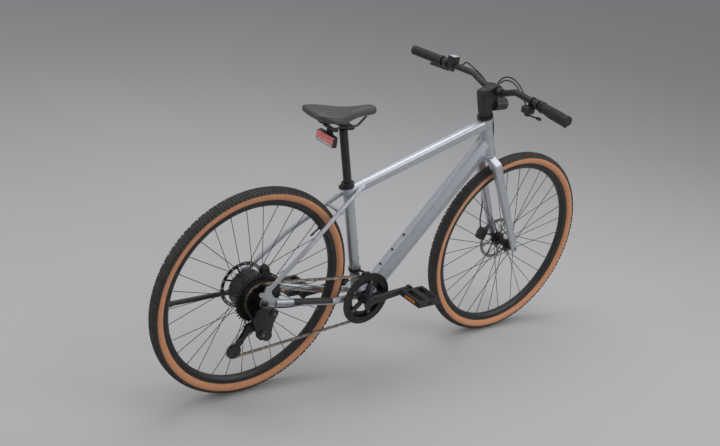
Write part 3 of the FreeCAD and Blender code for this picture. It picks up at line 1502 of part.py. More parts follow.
left_points = bar_points(1)
right_points = bar_points(-1)
bar_path = bent_path(list(reversed(right_points)) + left_points, [size("bar_bend_radius")] * 4)
bar = joined([
    tube_along(bar_path, size("bar_radius")),
    rod(right_points[0], left_points[0], size("bar_clamp_radius")),
])
feature("handlebar", bar)

# Places along the bar, from its middle
bar_bore = running_fit("bar_radius")
GRIP_START = worth("bar_half_width - grip_length")
MOUNT_AT = GRIP_START - size("lever_mount_inset")
PIVOT_AT = MOUNT_AT - size("lever_pivot_inset")
SHIFTER_AT = MOUNT_AT - size("shifter_inset")
DISPLAY_AT = MOUNT_AT - size("display_inset")
BAR_CORES = {}
for side in SIDES.values():
    BAR_CORES[side] = rod(bar_at(side, size("bar_bend_out")), bar_at(side, GRIP_START), bar_bore)

grips = []
for side in SIDES.values():
    along = bar_along(side)
    start = bar_at(side, GRIP_START)
    bar_end = bar_at(side, size("bar_half_width"))
    body = joined([
        rod(start, bar_end + along * size("grip_cap"), size("grip_radius")),
        rod(start, start + along * size("grip_ring_length"), size("grip_ring_radius")),
    ])
    grips.append(body.cut(rod(start - along, bar_end + along * size("running_clearance"), bar_bore)))
feature("grips", grouped(grips))

# Brake levers with their clamps and master cylinders
DROOP = math.radians(size("lever_droop_angle"))
LEVER_OUT = Vector(math.cos(DROOP), 0, -math.sin(DROOP))


def lever_normal(side):
    """The axis of a brake lever's pivot, pointing up on both sides."""
    across = bar_along(side).cross(LEVER_OUT)
    return across.normalize() * (1 if across.z > 0 else -1)


def lever_pivot(side):
    """The middle of a brake lever's pin."""
    return bar_at(side, PIVOT_AT) + LEVER_OUT * size("lever_pivot_reach")


def lever_mount(side):
    """Bar clamp, master cylinder and the two ears that hold the lever's pin."""
    normal = lever_normal(side)
    pivot = lever_pivot(side)
    root = bar_at(side, PIVOT_AT) + LEVER_OUT * size("master_reach")
    ear = size("lever_ear_thickness")
    half = worth("lever_height / 2 + seat_gap")
    master_start = bar_at(side, MOUNT_AT - size("master_inner_length")) + LEVER_OUT * size("master_reach")
    master_end = bar_at(side, MOUNT_AT + size("master_outer_length")) + LEVER_OUT * size("master_reach")
    ear_section = oblong(ear, 2 * size("lever_eye_radius"))
    mount_at = bar_at(side, MOUNT_AT)
    pieces = [
        ring(mount_at, bar_along(side), size("lever_mount_radius"), bar_bore, size("lever_mount_width")),
        rod(master_start, master_end, size("master_radius")),
        rod(pivot - normal * (half + ear), pivot + normal * (half + ear), size("lever_pivot_radius")),
    ]
    for way in (-1, 1):
        inner = normal * way * half
        middle = normal * way * (half + ear / 2)
        pieces.append(rod(pivot + inner, pivot + inner + normal * way * ear, size("lever_eye_radius")))
        pieces.append(tapered_bar(root + middle, pivot + middle, ear_section, ear_section, ear / 3, normal))
    return joined(pieces).cut(BAR_CORES[side])


def brake_lever(side):
    """A curved blade from the pivot's eye to a rounded tip in front of the grip."""
    normal = lever_normal(side)
    pivot = lever_pivot(side)
    knee = bar_at(side, PIVOT_AT + size("lever_knee")) + LEVER_OUT * worth("lever_tip_reach - lever_knee_rise")
    tip = bar_at(side, PIVOT_AT + size("lever_length")) + LEVER_OUT * size("lever_tip_reach")
    half = normal * (size("lever_height") / 2)
    blade = oblong(size("lever_height"), size("lever_thickness"))
    pieces = [
        rod_through(pivot, half, size("lever_eye_radius")),
        tapered_bar(pivot, knee, blade, blade, size("lever_corner"), normal),
        rod_through(knee, half, size("lever_thickness") / 2),
        tapered_bar(knee, tip, blade, blade, size("lever_corner"), normal),
        rod_through(tip, half, size("lever_tip_radius")),
    ]
    return joined(pieces).cut(rod_through(pivot, half * 3, running_fit("lever_pivot_radius")))


left_mount = lever_mount(1)
right_mount = lever_mount(-1)
feature("lever_mounts", grouped([left_mount, right_mount]))
for name, side in SIDES.items():
    feature(f"brake_lever_{name}", brake_lever(side))
    pivot_metres = [round(place / 1000, 5) for place in lever_pivot(side)]
    print("lever pivot", name, pivot_metres, [round(share, 5) for share in lever_normal(side)])

# Gear shifter under the bar, inside the right grip
shifter_on_bar = bar_at(-1, SHIFTER_AT)
shifter_middle = shifter_on_bar - Vector(size("shifter_back"), 0, size("shifter_drop"))
shifter_lengths = (size("shifter_depth"), size("shifter_width"), size("shifter_height"))
pin_top = shifter_middle - ALONG_Z * (size("shifter_height") / 2)
shifter = joined([
    ring(shifter_on_bar, bar_along(-1), size("shifter_band_radius"), bar_bore, size("shifter_band_width")),
    rounded_block(shifter_middle, shifter_lengths, size("shifter_corner")).cut(BAR_CORES[-1]),
    rod(shifter_middle, pin_top - ALONG_Z * size("shifter_pin_length"), size("shifter_pin_radius")),
])
feature("shifter", shifter)
hub_middle = pin_top - ALONG_Z * size("shift_lever_drop")
pad_middle = hub_middle + Vector(size("shift_lever_ahead"), -size("shift_lever_reach"), 0)
lever_hub = rod(hub_middle - ALONG_Z * (size("shift_lever_hub_height") / 2),
                hub_middle + ALONG_Z * (size("shift_lever_hub_height") / 2), size("shift_lever_hub_radius"))
lever_arm = rod(hub_middle, pad_middle, size("shift_lever_radius"))
lever_pad = block(pad_middle, (size("shift_pad_length"), size("shift_pad_width"), size("shift_pad_height")))
shift_bore = rod(shifter_middle, pin_top - ALONG_Z * 2 * size("shifter_pin_length"),
                 running_fit("shifter_pin_radius"))
feature("shift_lever", joined([lever_hub, lever_arm, lever_pad]).cut(shift_bore))
print("shift pivot", [round(place / 1000, 5) for place in pin_top])

# Display on the left of the bar and headlight under the stem
display_on_bar = bar_at(1, DISPLAY_AT)
display_lengths = (size("display_depth"), size("display_width"), size("display_height"))
display_middle = display_on_bar + Vector(-size("display_back"), 0, size("display_rise"))
display_case = rounded_block(display_middle, display_lengths, size("display_corner"))
band_radius = size("display_band_radius")
display_band = ring(display_on_bar, bar_along(1), band_radius, bar_bore, size("display_band_width"))
feature("display", joined([display_band, display_case.cut(BAR_CORES[1])]))

light_middle = on_steering(worth(f"{CLAMP_LEVEL} - headlight_drop"), worth("stem_reach + headlight_ahead"))
light_half = ALONG_X * (size("headlight_length") / 2)
arm_section = oblong(size("headlight_arm_width"), size("headlight_arm_depth"))
light_arm = tapered_bar(light_middle, BAR_MIDDLE, arm_section, arm_section, size("headlight_arm_depth") / 4)
clamp_seat = rod_through(BAR_MIDDLE, clamp_reach * 2, worth("stem_clamp_radius + seat_gap"))
light = joined([
    rod_through(light_middle, light_half, size("headlight_radius")),
    light_arm.cut(clamp_seat),
])
feature("headlight", light.cut(stem))

# Hoses and gear cable
HOSE_RADIUS = 2.5


def cockpit_route(points):
    """Points given as height along the steering axis, reach ahead of it and distance beside it."""
    return [on_steering(height, ahead, beside) for height, ahead, beside in points]


def frame_route(points):
    """Points given as distances ahead of, beside and above the rear axle."""
    return [from_axle(ahead, beside, above) for ahead, beside, above in points]


front_hose = hose("front hose", cockpit_route([
    (660, 47, 206), (670, 64, 178), (694, 64, 156), (686, 64, 128), (662, 74, 98), (630, 80, 66), (585, 68, 40),
    (540, 52, 24), (487, 54, 20), (430, 50, 26), (392, 36, 50), (344, 18, 66), (300, 10, 66), (244, 16, 66.5),
    (190, 20, 66.5), (142, 16, 66), (110, 0, 62), (88, -13, 50), (72, -17, 42),
]), HOSE_RADIUS)
feature("front_brake_hose", front_hose.cut(left_mount).cut(front_caliper))
rear_hose = hose("rear hose", cockpit_route([
    (660, 47, -206), (656, 60, -176), (650, 72, -140), (651, 91, -96), (667, 105, -62), (676, 110, -22),
    (660, 108, 24), (614, 99, 53), (552, 72, 55), (492, 47, 51), (456, 12, 49), (432, -24, 42), (424, -50, 25),
]), HOSE_RADIUS)
gear_cable = hose("gear cable", cockpit_route([
    (658, 21, -183), (652, 42, -158), (644, 62, -132), (644, 84, -92), (660, 97, -62), (668, 102, -24),
    (652, 100, 18), (608, 92, 44), (548, 66, 46), (490, 40, 43), (456, 8, 41), (441, -28, 36), (436, -50, 26.6),
]), HOSE_RADIUS)
feature("control_cables", grouped([rear_hose.cut(right_mount), gear_cable.cut(shifter)]))
rear_brake_line = hose("rear brake line", frame_route([
    (236, 52.5, -37.2), (196, 57, -28.6), (160, 61, -15), (128, 61, 6), (92, 58, 28),
]), HOSE_RADIUS).cut(rear_caliper)
gear_line = hose("gear line", frame_route([
    (150, -72.4, -35), (110, -79, -32), (66, -85, -24), (24, -88, -14), (-12, -89, -28), (-20, -89, -58),
    (5, -88, -80),
]), HOSE_RADIUS).cut(built("derailleur_body"))
feature("rear_cables", grouped([rear_brake_line, gear_line]))

# Seatpost, rails and saddle
POST_HEAD = BOTTOM_BRACKET + SEAT_UP * worth("seat_tube_length + seatpost_rise")
RAIL_LEVEL = POST_HEAD + ALONG_Z * size("rail_rise")
RAIL_BENDS = [22, 60, 30]
rails = []
for side in SIDES.values():
    gap = size("rail_half_gap")
    route = [(-109, 34, 40), (-71, 30, 0), (-17, gap, 0), (33, gap, 0), (79, 12, 32)]
    points = [RAIL_LEVEL + Vector(ahead, side * beside, above) for ahead, beside, above in route]
    rails.append(tube_along(bent_path(points, RAIL_BENDS), size("rail_radius")))
post_bottom = BOTTOM_BRACKET + SEAT_UP * worth("seat_tube_length - seatpost_insert")
head_middle = RAIL_LEVEL + Vector(size("seatpost_head_ahead"), 0, -size("seatpost_head_corner"))
head_lengths = (size("seatpost_head_length"), worth("2 * rail_half_gap + 2 * seatpost_head_margin"),
                size("seatpost_head_height"))
post = joined([
    rod(post_bottom, POST_HEAD + SEAT_UP * size("seatpost_neck"), size("seatpost_radius")),
    rounded_block(head_middle, head_lengths, size("seatpost_head_corner")),
])
for side in SIDES.values():
    groove = RAIL_LEVEL + ALONG_Y * side * size("rail_half_gap")
    reach = ALONG_X * size("seatpost_head_length")
    post = post.cut(rod_through(groove, reach, worth("rail_radius + seat_gap")))
feature("seatpost", post)


def saddle_section(ahead, half_width, top, base):
    """A saddle's cross-section above the rails: flat base, drawn-in skirts and a crowned top."""
    def place(beside, above):
        return RAIL_LEVEL + Vector(ahead, beside, above)
    waist = 0.72 * half_width
    shoulder = top - 0.34 * (top - base)
    skirt_height = base + 0.3 * (shoulder - base)
    skirt_width = (waist + half_width) / 2 - 1
    crown_width = 0.72 * half_width
    crown_height = top - 0.07 * (top - base)
    edges = []
    for start, middle, end in (
        ((waist, base), (skirt_width, skirt_height), (half_width, shoulder)),
        ((half_width, shoulder), (crown_width, crown_height), (0, top)),
        ((0, top), (-crown_width, crown_height), (-half_width, shoulder)),
        ((-half_width, shoulder), (-skirt_width, skirt_height), (-waist, base)),
    ):
        edges.append(Part.Arc(place(*start), place(*middle), place(*end)).toShape())
    edges.append(Part.LineSegment(place(-waist, base), place(waist, base)).toShape())
    return Part.Wire(edges)


# Along the saddle: share of its length, share of its half width, drop of the top and depth of the cushion
SADDLE_STATIONS = [
    (0.0, 0.5, 9, 8), (0.05, 0.8, 2, 18), (0.18, 1.0, 0, 26), (0.36, 0.9, 2, 27), (0.54, 0.55, 4, 28),
    (0.74, 0.34, 4, 30), (0.92, 0.29, 3, 31), (1.0, 0.17, 12, 15),
]
sections = []
for share, spread, drop, depth in SADDLE_STATIONS:
    top = size("saddle_crown") - drop
    ahead = size("saddle_length") * share - size("saddle_setback")
    sections.append(saddle_section(ahead, size("saddle_half_width") * spread, top, top - depth))
saddle = Part.makeLoft(sections, True, False)
feature("saddle", saddle)
feature("saddle_rails", grouped([rail.cut(saddle) for rail in rails]))

# Tail light, hung from the saddle's rails
tail_middle = POST_HEAD - Vector(size("tail_light_behind"), 0, size("tail_light_drop"))
half_case = ALONG_X * (size("tail_light_depth") / 2)
taper = size("tail_light_taper")
case_front = oblong(size("tail_light_width"), size("tail_light_height"))
case_back = oblong(size("tail_light_width") - taper, size("tail_light_height") - taper)
tail_case = Part.makeLoft([
    section(tail_middle + half_case, ALONG_Y, ALONG_Z, case_front, size("tail_light_corner")),
    section(tail_middle - half_case, ALONG_Y, ALONG_Z, case_back, size("tail_light_corner")),
], True, True)
hanger_at = tail_middle + ALONG_X * worth("tail_light_depth / 2 + seat_gap + tail_hanger_thickness / 2")
bar_drop = worth("rail_radius + seat_gap + tail_hanger_bar_height / 2")
bar_middle = Vector(hanger_at.x, 0, RAIL_LEVEL.z - bar_drop)
hanger_drop = bar_middle.z - tail_middle.z
bar_lengths = (size("tail_hanger_bar_depth"), size("tail_hanger_bar_width"), size("tail_hanger_bar_height"))
strap_lengths = (size("tail_hanger_thickness"), size("tail_hanger_width"), hanger_drop)
hanger = joined([block(bar_middle, bar_lengths), block(bar_middle - ALONG_Z * (hanger_drop / 2), strap_lengths)])
feature("tail_light", grouped([tail_case, hanger.cut(tail_case)]))

# Every object has to be sound before anything is written
doc.recompute()
for item in doc.Objects:
    faults = [state for state in item.State if state in ("Invalid", "Error")]
    if faults:
        raise RuntimeError(f"{item.Label} failed: {faults}")
for piece in sub_parts:
    if piece.Shape.isNull() or not piece.Shape.isValid() or not piece.Shape.Solids:
        raise RuntimeError(f"{piece.Label} has no sound shape")
os.makedirs("parts", exist_ok=True)
for piece in sub_parts:
    piece.Shape.exportStep(os.path.join("parts", f"{piece.Label}.step"))
print(len(sub_parts), "sub-parts written")
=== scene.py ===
import json
import math

import bmesh
import bpy
from mathutils import Matrix, Vector


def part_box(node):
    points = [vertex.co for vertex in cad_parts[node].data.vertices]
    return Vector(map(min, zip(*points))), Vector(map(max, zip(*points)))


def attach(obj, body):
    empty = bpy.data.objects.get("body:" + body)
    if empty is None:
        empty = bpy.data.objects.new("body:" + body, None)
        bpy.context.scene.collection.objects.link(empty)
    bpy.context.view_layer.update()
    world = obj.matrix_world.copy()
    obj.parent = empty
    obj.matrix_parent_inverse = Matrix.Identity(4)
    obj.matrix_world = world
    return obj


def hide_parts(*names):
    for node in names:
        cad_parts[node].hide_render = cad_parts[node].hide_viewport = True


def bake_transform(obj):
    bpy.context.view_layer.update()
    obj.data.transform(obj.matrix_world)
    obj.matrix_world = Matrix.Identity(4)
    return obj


# The dressed look of a flat-bar hybrid bicycle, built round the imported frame.
# The scene is in metres: X points forward, Y to the rider's left and Z up. Sizes of pieces are given in
# millimetres, and those of cords, seams, floor, lamps and camera in metres.
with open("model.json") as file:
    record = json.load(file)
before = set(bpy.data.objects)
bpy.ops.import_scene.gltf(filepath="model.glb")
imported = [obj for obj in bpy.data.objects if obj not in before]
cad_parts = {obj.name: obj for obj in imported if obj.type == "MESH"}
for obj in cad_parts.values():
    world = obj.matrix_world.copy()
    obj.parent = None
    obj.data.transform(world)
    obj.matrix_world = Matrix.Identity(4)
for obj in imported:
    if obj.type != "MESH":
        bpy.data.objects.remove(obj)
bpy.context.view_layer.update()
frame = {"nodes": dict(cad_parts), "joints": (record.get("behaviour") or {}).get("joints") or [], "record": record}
nodes = frame["nodes"]
joints = {joint["name"]: joint for joint in frame["joints"]}
scene = bpy.context.scene
MM = 0.001
ACROSS = Vector((0, 1, 0))
AHEAD = Vector((1, 0, 0))
UP = Vector((0, 0, 1))
SIDES = {"left": 1, "right": -1}


def middle(node):
    """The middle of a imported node's box."""
    low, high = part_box(node)
    return (low + high) / 2


FRONT_AXLE = middle("front_tyre")
REAR_AXLE = middle("rear_tyre")
BRACKET = middle("bottom_bracket_shell")
STEER_FOOT = Vector(joints["steering"]["pos_m"])
STEER_UP = Vector(joints["steering"]["axis"]).normalized()
STEER_AHEAD = Vector((STEER_UP.z, 0, -STEER_UP.x))
SEAT_UP = Vector(joints["seatpost_slide"]["axis"]).normalized()


def from_axle(ahead, beside, above):
    """A point by its distances in millimetres from the rear axle's centre."""
    return REAR_AXLE + Vector((ahead, beside, above)) * MM


def on_steering(height, ahead=0.0, beside=0.0):
    """A point by its height in millimetres up the steering axis, its reach ahead and its reach beside."""
    return STEER_FOOT + STEER_UP * height * MM + STEER_AHEAD * ahead * MM + ACROSS * beside * MM


# Materials
TONE_LOW = 0.3
TONE_HIGH = 0.7
GRAIN_DETAIL = 3.0
COAT_ROUGHNESS = 0.12


def shader(name):
    """An empty principled material with its node tree and shader."""
    made = bpy.data.materials.new(name)
    made.use_nodes = True
    return made, made.node_tree, made.node_tree.nodes["Principled BSDF"]


def grain(tree, scale):
    """Noise that stays with the piece, with features of about 1 / scale metres."""
    place = tree.nodes.new("ShaderNodeTexCoord")
    noise = tree.nodes.new("ShaderNodeTexNoise")
    noise.inputs["Scale"].default_value = scale
    noise.inputs["Detail"].default_value = GRAIN_DETAIL
    tree.links.new(place.outputs["Object"], noise.inputs["Vector"])
    return noise.outputs["Fac"]


def cells(tree, scale):
    """Cell pattern that stays with the piece."""
    place = tree.nodes.new("ShaderNodeTexCoord")
    pattern = tree.nodes.new("ShaderNodeTexVoronoi")
    pattern.inputs["Scale"].default_value = scale
    tree.links.new(place.outputs["Object"], pattern.inputs["Vector"])
    return pattern.outputs["Distance"]


def tinted(tree, bsdf, factor, dark, pale):
    """Colour that runs between two tones with a pattern."""
    ramp = tree.nodes.new("ShaderNodeValToRGB")
    ramp.color_ramp.elements[0].position = TONE_LOW
    ramp.color_ramp.elements[1].position = TONE_HIGH
    ramp.color_ramp.elements[0].color = (*dark, 1)
    ramp.color_ramp.elements[1].color = (*pale, 1)
    tree.links.new(factor, ramp.inputs["Fac"])
    tree.links.new(ramp.outputs["Color"], bsdf.inputs["Base Color"])


def roughened(tree, bsdf, factor, low, high):
    """Roughness that runs between two values with a pattern."""
    spread = tree.nodes.new("ShaderNodeMapRange")
    spread.inputs["To Min"].default_value = low
    spread.inputs["To Max"].default_value = high
    tree.links.new(factor, spread.inputs["Value"])
    tree.links.new(spread.outputs["Result"], bsdf.inputs["Roughness"])


def bumped(tree, bsdf, height, strength, depth):
    """Fine relief from a pattern, depth in metres."""
    relief = tree.nodes.new("ShaderNodeBump")
    relief.inputs["Strength"].default_value = strength
    relief.inputs["Distance"].default_value = depth
    tree.links.new(height, relief.inputs["Height"])
    tree.links.new(relief.outputs["Normal"], bsdf.inputs["Normal"])


def surface(name, dark, pale, rough, metallic=0.0, blotch=60, fine=1500, relief=0.15, depth=0.0002,
            coat=0.0, pattern="grain"):
    """A material with two tones, changing roughness and fine relief."""
    made, tree, bsdf = shader(name)
    bsdf.inputs["Metallic"].default_value = metallic
    bsdf.inputs["Coat Weight"].default_value = coat
    bsdf.inputs["Coat Roughness"].default_value = COAT_ROUGHNESS
    tinted(tree, bsdf, grain(tree, blotch), dark, pale)
    roughened(tree, bsdf, grain(tree, blotch * 3), *rough)
    height = cells(tree, fine) if pattern == "cells" else grain(tree, fine)
    bumped(tree, bsdf, height, relief, depth)
    return made


LOOKS = {
    "frame_paint": surface("frame_paint", (0.5, 0.52, 0.56), (0.56, 0.58, 0.62), (0.37, 0.43),
                           metallic=0.8, fine=4000, relief=0.04, coat=0.2),
    "black_alloy": surface("black_alloy", (0.026, 0.026, 0.027), (0.042, 0.042, 0.044), (0.36, 0.46),
                           metallic=0.4, fine=2500, relief=0.06),
    "tyre_rubber": surface("tyre_rubber", (0.05, 0.046, 0.043), (0.08, 0.074, 0.069), (0.62, 0.8),
                           fine=900, relief=0.35),
    "spoke_wire": surface("spoke_wire", (0.03, 0.03, 0.032), (0.05, 0.05, 0.053), (0.3, 0.4),
                          metallic=0.9),
    "rotor_steel": surface("rotor_steel", (0.24, 0.235, 0.23), (0.33, 0.325, 0.32), (0.24, 0.36),
                           metallic=1.0, fine=2200, relief=0.12),
    "chain_steel": surface("chain_steel", (0.1, 0.085, 0.07), (0.66, 0.57, 0.47), (0.24, 0.34),
                           metallic=0.9, blotch=110),
    "sprocket_steel": surface("sprocket_steel", (0.03, 0.03, 0.031), (0.055, 0.054, 0.052), (0.32, 0.45),
                              metallic=0.8),
    "axle_steel": surface("axle_steel", (0.22, 0.22, 0.225), (0.3, 0.3, 0.31), (0.28, 0.38),
                          metallic=1.0),
    "grip_rubber": surface("grip_rubber", (0.018, 0.018, 0.018), (0.03, 0.03, 0.03), (0.6, 0.75),
                           fine=1400, relief=0.4),
    "hose_rubber": surface("hose_rubber", (0.012, 0.012, 0.012), (0.02, 0.02, 0.02), (0.36, 0.48),
                           relief=0.08),
    "black_plastic": surface("black_plastic", (0.016, 0.016, 0.017), (0.027, 0.027, 0.028), (0.42, 0.54),
                             fine=1800, relief=0.12),
    "saddle_cover": surface("saddle_cover", (0.052, 0.052, 0.053), (0.074, 0.074, 0.075), (0.4, 0.5),
                            fine=700, relief=0.3, depth=0.0003, pattern="cells"),
    "light_red": surface("light_case", (0.014, 0.014, 0.015), (0.022, 0.022, 0.023), (0.35, 0.45),
                         relief=0.08),
}
tan_wall = surface("tan_wall", (0.66, 0.29, 0.14), (0.77, 0.348, 0.175), (0.55, 0.7),
                   blotch=90, fine=1100, relief=0.3)
red_lens = surface("red_lens", (0.78, 0.14, 0.14), (0.9, 0.28, 0.28), (0.12, 0.2),
                   blotch=120, fine=260, relief=0.5, depth=0.0006, coat=0.8, pattern="cells")
# Pale tone for the headlight lens, also used as a painted glint on the tail light's strip
clear_lens_and_painted_glint = surface("clear_lens_and_painted_glint", (0.62, 0.64, 0.66), (0.8, 0.81, 0.82), (0.1, 0.18),
                     fine=240, relief=0.4, depth=0.0006, coat=0.8, pattern="cells")
amber_lens = surface("amber_lens", (0.62, 0.16, 0.005), (0.85, 0.28, 0.015), (0.14, 0.22),
                     fine=300, relief=0.5, depth=0.0006, coat=0.8, pattern="cells")
pale_screen = surface("pale_screen", (0.6, 0.62, 0.65), (0.66, 0.68, 0.71), (0.12, 0.18),
                      relief=0.02, coat=1.0)
dark_moulding = surface("dark_moulding", (0.006, 0.006, 0.0065), (0.012, 0.012, 0.0125), (0.3, 0.4),
                        fine=1800, relief=0.1)
guard_rubber = surface("guard_rubber", (0.02, 0.02, 0.021), (0.034, 0.034, 0.035), (0.5, 0.62),
                       fine=800, relief=0.3)

for subpart in frame["record"]["subparts"]:
    node = nodes[subpart["node"]]
    node.data.materials.clear()
    node.data.materials.append(LOOKS[subpart["material_slot"]])
nodes["hub_motor"].data.materials[0] = dark_moulding


# Building blocks
SMOOTH_BELOW = math.radians(32)
NEARLY_AHEAD = 0.8
EDGE_STEPS = 3


def dressed(name, points, faces, slot, looks=(), shares=None):
    """A mesh with its slot's look or the looks given; shares has each face's place among these."""
    mesh = bpy.data.meshes.new(name)
    mesh.from_pydata([tuple(point) for point in points], [], faces)
    for look in looks or [LOOKS[slot]]:
        mesh.materials.append(look)
    if shares:
        mesh.polygons.foreach_set("material_index", shares)
    mesh.validate()
    shell = bmesh.new()
    shell.from_mesh(mesh)
    bmesh.ops.recalc_face_normals(shell, faces=shell.faces)
    shell.to_mesh(mesh)
    shell.free()
    mesh.shade_smooth()
    mesh.set_sharp_from_angle(angle=SMOOTH_BELOW)
    made = bpy.data.objects.new(name, mesh)
    scene.collection.objects.link(made)
    return made


def piece(name, points, faces, body, slot, looks=(), shares=None):
    """A dressed mesh that rides on a body."""
    made = dressed(name, points, faces, slot, looks, shares)
    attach(made, body)
    return made


def frame_of(axis):
    """Two directions square to an axis and to each other."""
    axis = axis.normalized()
    helper = AHEAD if abs(axis.dot(AHEAD)) < NEARLY_AHEAD else UP
    first = (helper - axis * helper.dot(axis)).normalized()
    return first, axis.cross(first)


def turned_shape(profile, centre, axis, segments):
    """Points and faces of a closed profile of (radius, along) pairs in millimetres, turned about an axis."""
    axis = axis.normalized()
    first, second = frame_of(axis)
    points = []
    for step in range(segments):
        angle = 2 * math.pi * step / segments
        out = first * math.cos(angle) + second * math.sin(angle)
        points += [centre + (out * radius + axis * along) * MM for radius, along in profile]
    count = len(profile)
    faces = []
    for step in range(segments):
        here = step * count
        after = (step + 1) % segments * count
        for index in range(count):
            beyond = (index + 1) % count
            faces.append((here + index, after + index, after + beyond, here + beyond))
    return points, faces


def gathered(shapes):
    """Several shapes as one list of points and faces."""
    points = []
    faces = []
    for shape_points, shape_faces in shapes:
        start = len(points)
        points += shape_points
        faces += [tuple(corner + start for corner in face) for face in shape_faces]
    return points, faces


def turned(name, profile, centre, axis, body, slot, segments=48, looks=()):
    """A turned piece."""
    points, faces = turned_shape(profile, centre, axis, segments)
    return piece(name, points, faces, body, slot, looks)


def rounded_shape(shell, edge):
    """Points and faces of a mesh with its edges rounded by a radius in millimetres; frees the mesh."""
    bmesh.ops.bevel(shell, geom=shell.edges[:], offset=edge * MM, segments=EDGE_STEPS, profile=0.5,
                    affect="EDGES", clamp_overlap=True)
    shell.verts.index_update()
    points = [corner.co.copy() for corner in shell.verts]
    faces = [tuple(corner.index for corner in side.verts) for side in shell.faces]
    shell.free()
    return points, faces


def slab_shape(centre, lengths, edge):
    """Points and faces of a block with rounded edges, its lengths and edge in millimetres."""
    shell = bmesh.new()
    bmesh.ops.create_cube(shell, size=1.0)
    bmesh.ops.scale(shell, vec=Vector(lengths) * MM, verts=shell.verts)
    points, faces = rounded_shape(shell, edge)
    return [centre + point for point in points], faces


def slab(name, centre, lengths, edge, body, slot, looks):
    """A block with rounded edges."""
    points, faces = slab_shape(centre, lengths, edge)
    return piece(name, points, faces, body, slot, looks)


def tube_shape(line, radius, sides=12):
    """Points and faces of a round tube that follows a line of points, its radius in metres."""
    points = []
    heading = (line[1] - line[0]).normalized()
    first, second = frame_of(heading)
    for index, place in enumerate(line):
        ahead = line[min(index + 1, len(line) - 1)]
        behind = line[max(index - 1, 0)]
        heading = (ahead - behind).normalized()
        first = (first - heading * first.dot(heading)).normalized()
        second = heading.cross(first)
        for side in range(sides):
            angle = 2 * math.pi * side / sides
            points.append(place + (first * math.cos(angle) + second * math.sin(angle)) * radius)
    faces = []
    for index in range(len(line) - 1):
        for side in range(sides):
            beyond = (side + 1) % sides
            faces.append((index * sides + side, index * sides + beyond, (index + 1) * sides + beyond,
                          (index + 1) * sides + side))
    last = (len(line) - 1) * sides
    faces.append(tuple(range(sides)))
    faces.append(tuple(last + side for side in reversed(range(sides))))
    return points, faces


# A bolt head's profile, as shares of its radius and height
BOLT_PROFILE = [(0.0, 0.0), (1.0, 0.0), (1.0, 0.75), (0.85, 1.0), (0.5, 1.0), (0.45, 0.5), (0.0, 0.5)]
BOLT_SEGMENTS = 12
# Each bolt head's radius and height in millimetres
ROTOR_BOLT = (3.2, 2.4)
MOTOR_BOLT = (3.4, 2.2)
LOCK_BOLT = (2.6, 1.6)
STEM_CAP_BOLT = (4.2, 2.0)
STEM_FACE_BOLT = (3.4, 3.0)
CHAINRING_BOLT = (4.2, 1.8)
DERAILLEUR_BOLT = (5.0, 2.4)


def bolts(name, places, axis, head, body, slot="axle_steel"):
    """Socket-head bolts at several places, all pointing one way."""
    radius, height = head
    profile = [(radius * share, height * along) for share, along in BOLT_PROFILE]
    points, faces = gathered([turned_shape(profile, place, axis, BOLT_SEGMENTS) for place in places])
    return piece(name, points, faces, body, slot)


# Tyres: a round carcass with tan walls and rows of tread blocks
CARCASS_CENTRE = 334.0
CARCASS_HEIGHT = 19.6
CARCASS_HALF_WIDTH = 22.2
WALL_TOP_ANGLE = 70
BEAD_STRIP_ANGLE = 141
BEAD_ANGLE = 146
BEAD_FOOT = (311.5, 9.4)
TYRE_SEGMENTS = 160
# Angles from the crown to the points along one side of the carcass, in degrees
SIDE_ANGLES = [BEAD_ANGLE, BEAD_STRIP_ANGLE, 130, 119, 108, 97, 88, 79, WALL_TOP_ANGLE, 58, 47, 36, 27, 18, 9]
# Each row of blocks, on both sides of the crown: its angle in degrees, how many blocks it has, and their
# length, width and height in millimetres
TREAD_ROWS = [(0, 220, 5.8, 6.0, 2.8), (19, 220, 5.6, 5.6, 2.9), (38, 220, 5.6, 5.8, 3.1),
              (58, 150, 9.2, 6.2, 3.6)]
BLOCK_TOP_SHARE = 0.82
BLOCK_SINK = 0.4


def on_tyre(axle, turn, lean, lift):
    """A point above the carcass: turn round the wheel and lean round the tyre, in radians."""
    radius = CARCASS_CENTRE + (CARCASS_HEIGHT + lift) * math.cos(lean)
    beside = (CARCASS_HALF_WIDTH + lift) * math.sin(lean)
    return axle + Vector((radius * math.cos(turn), beside, radius * math.sin(turn))) * MM


def tread_block(axle, turn, lean, length, width, height):
    """Points and faces of one tapered block."""
    reach = CARCASS_CENTRE + CARCASS_HEIGHT * math.cos(lean)
    points = []
    for lift, share in ((-BLOCK_SINK, 1.0), (height, BLOCK_TOP_SHARE)):
        half_turn = length * share / 2 / reach
        half_lean = width * share / 2 / CARCASS_HALF_WIDTH
        for along, over in ((-1, -1), (1, -1), (1, 1), (-1, 1)):
            points.append(on_tyre(axle, turn + along * half_turn, lean + over * half_lean, lift))
    faces = [(3, 2, 1, 0), (4, 5, 6, 7), (0, 1, 5, 4), (1, 2, 6, 5), (2, 3, 7, 6), (3, 0, 4, 7)]
    return points, faces


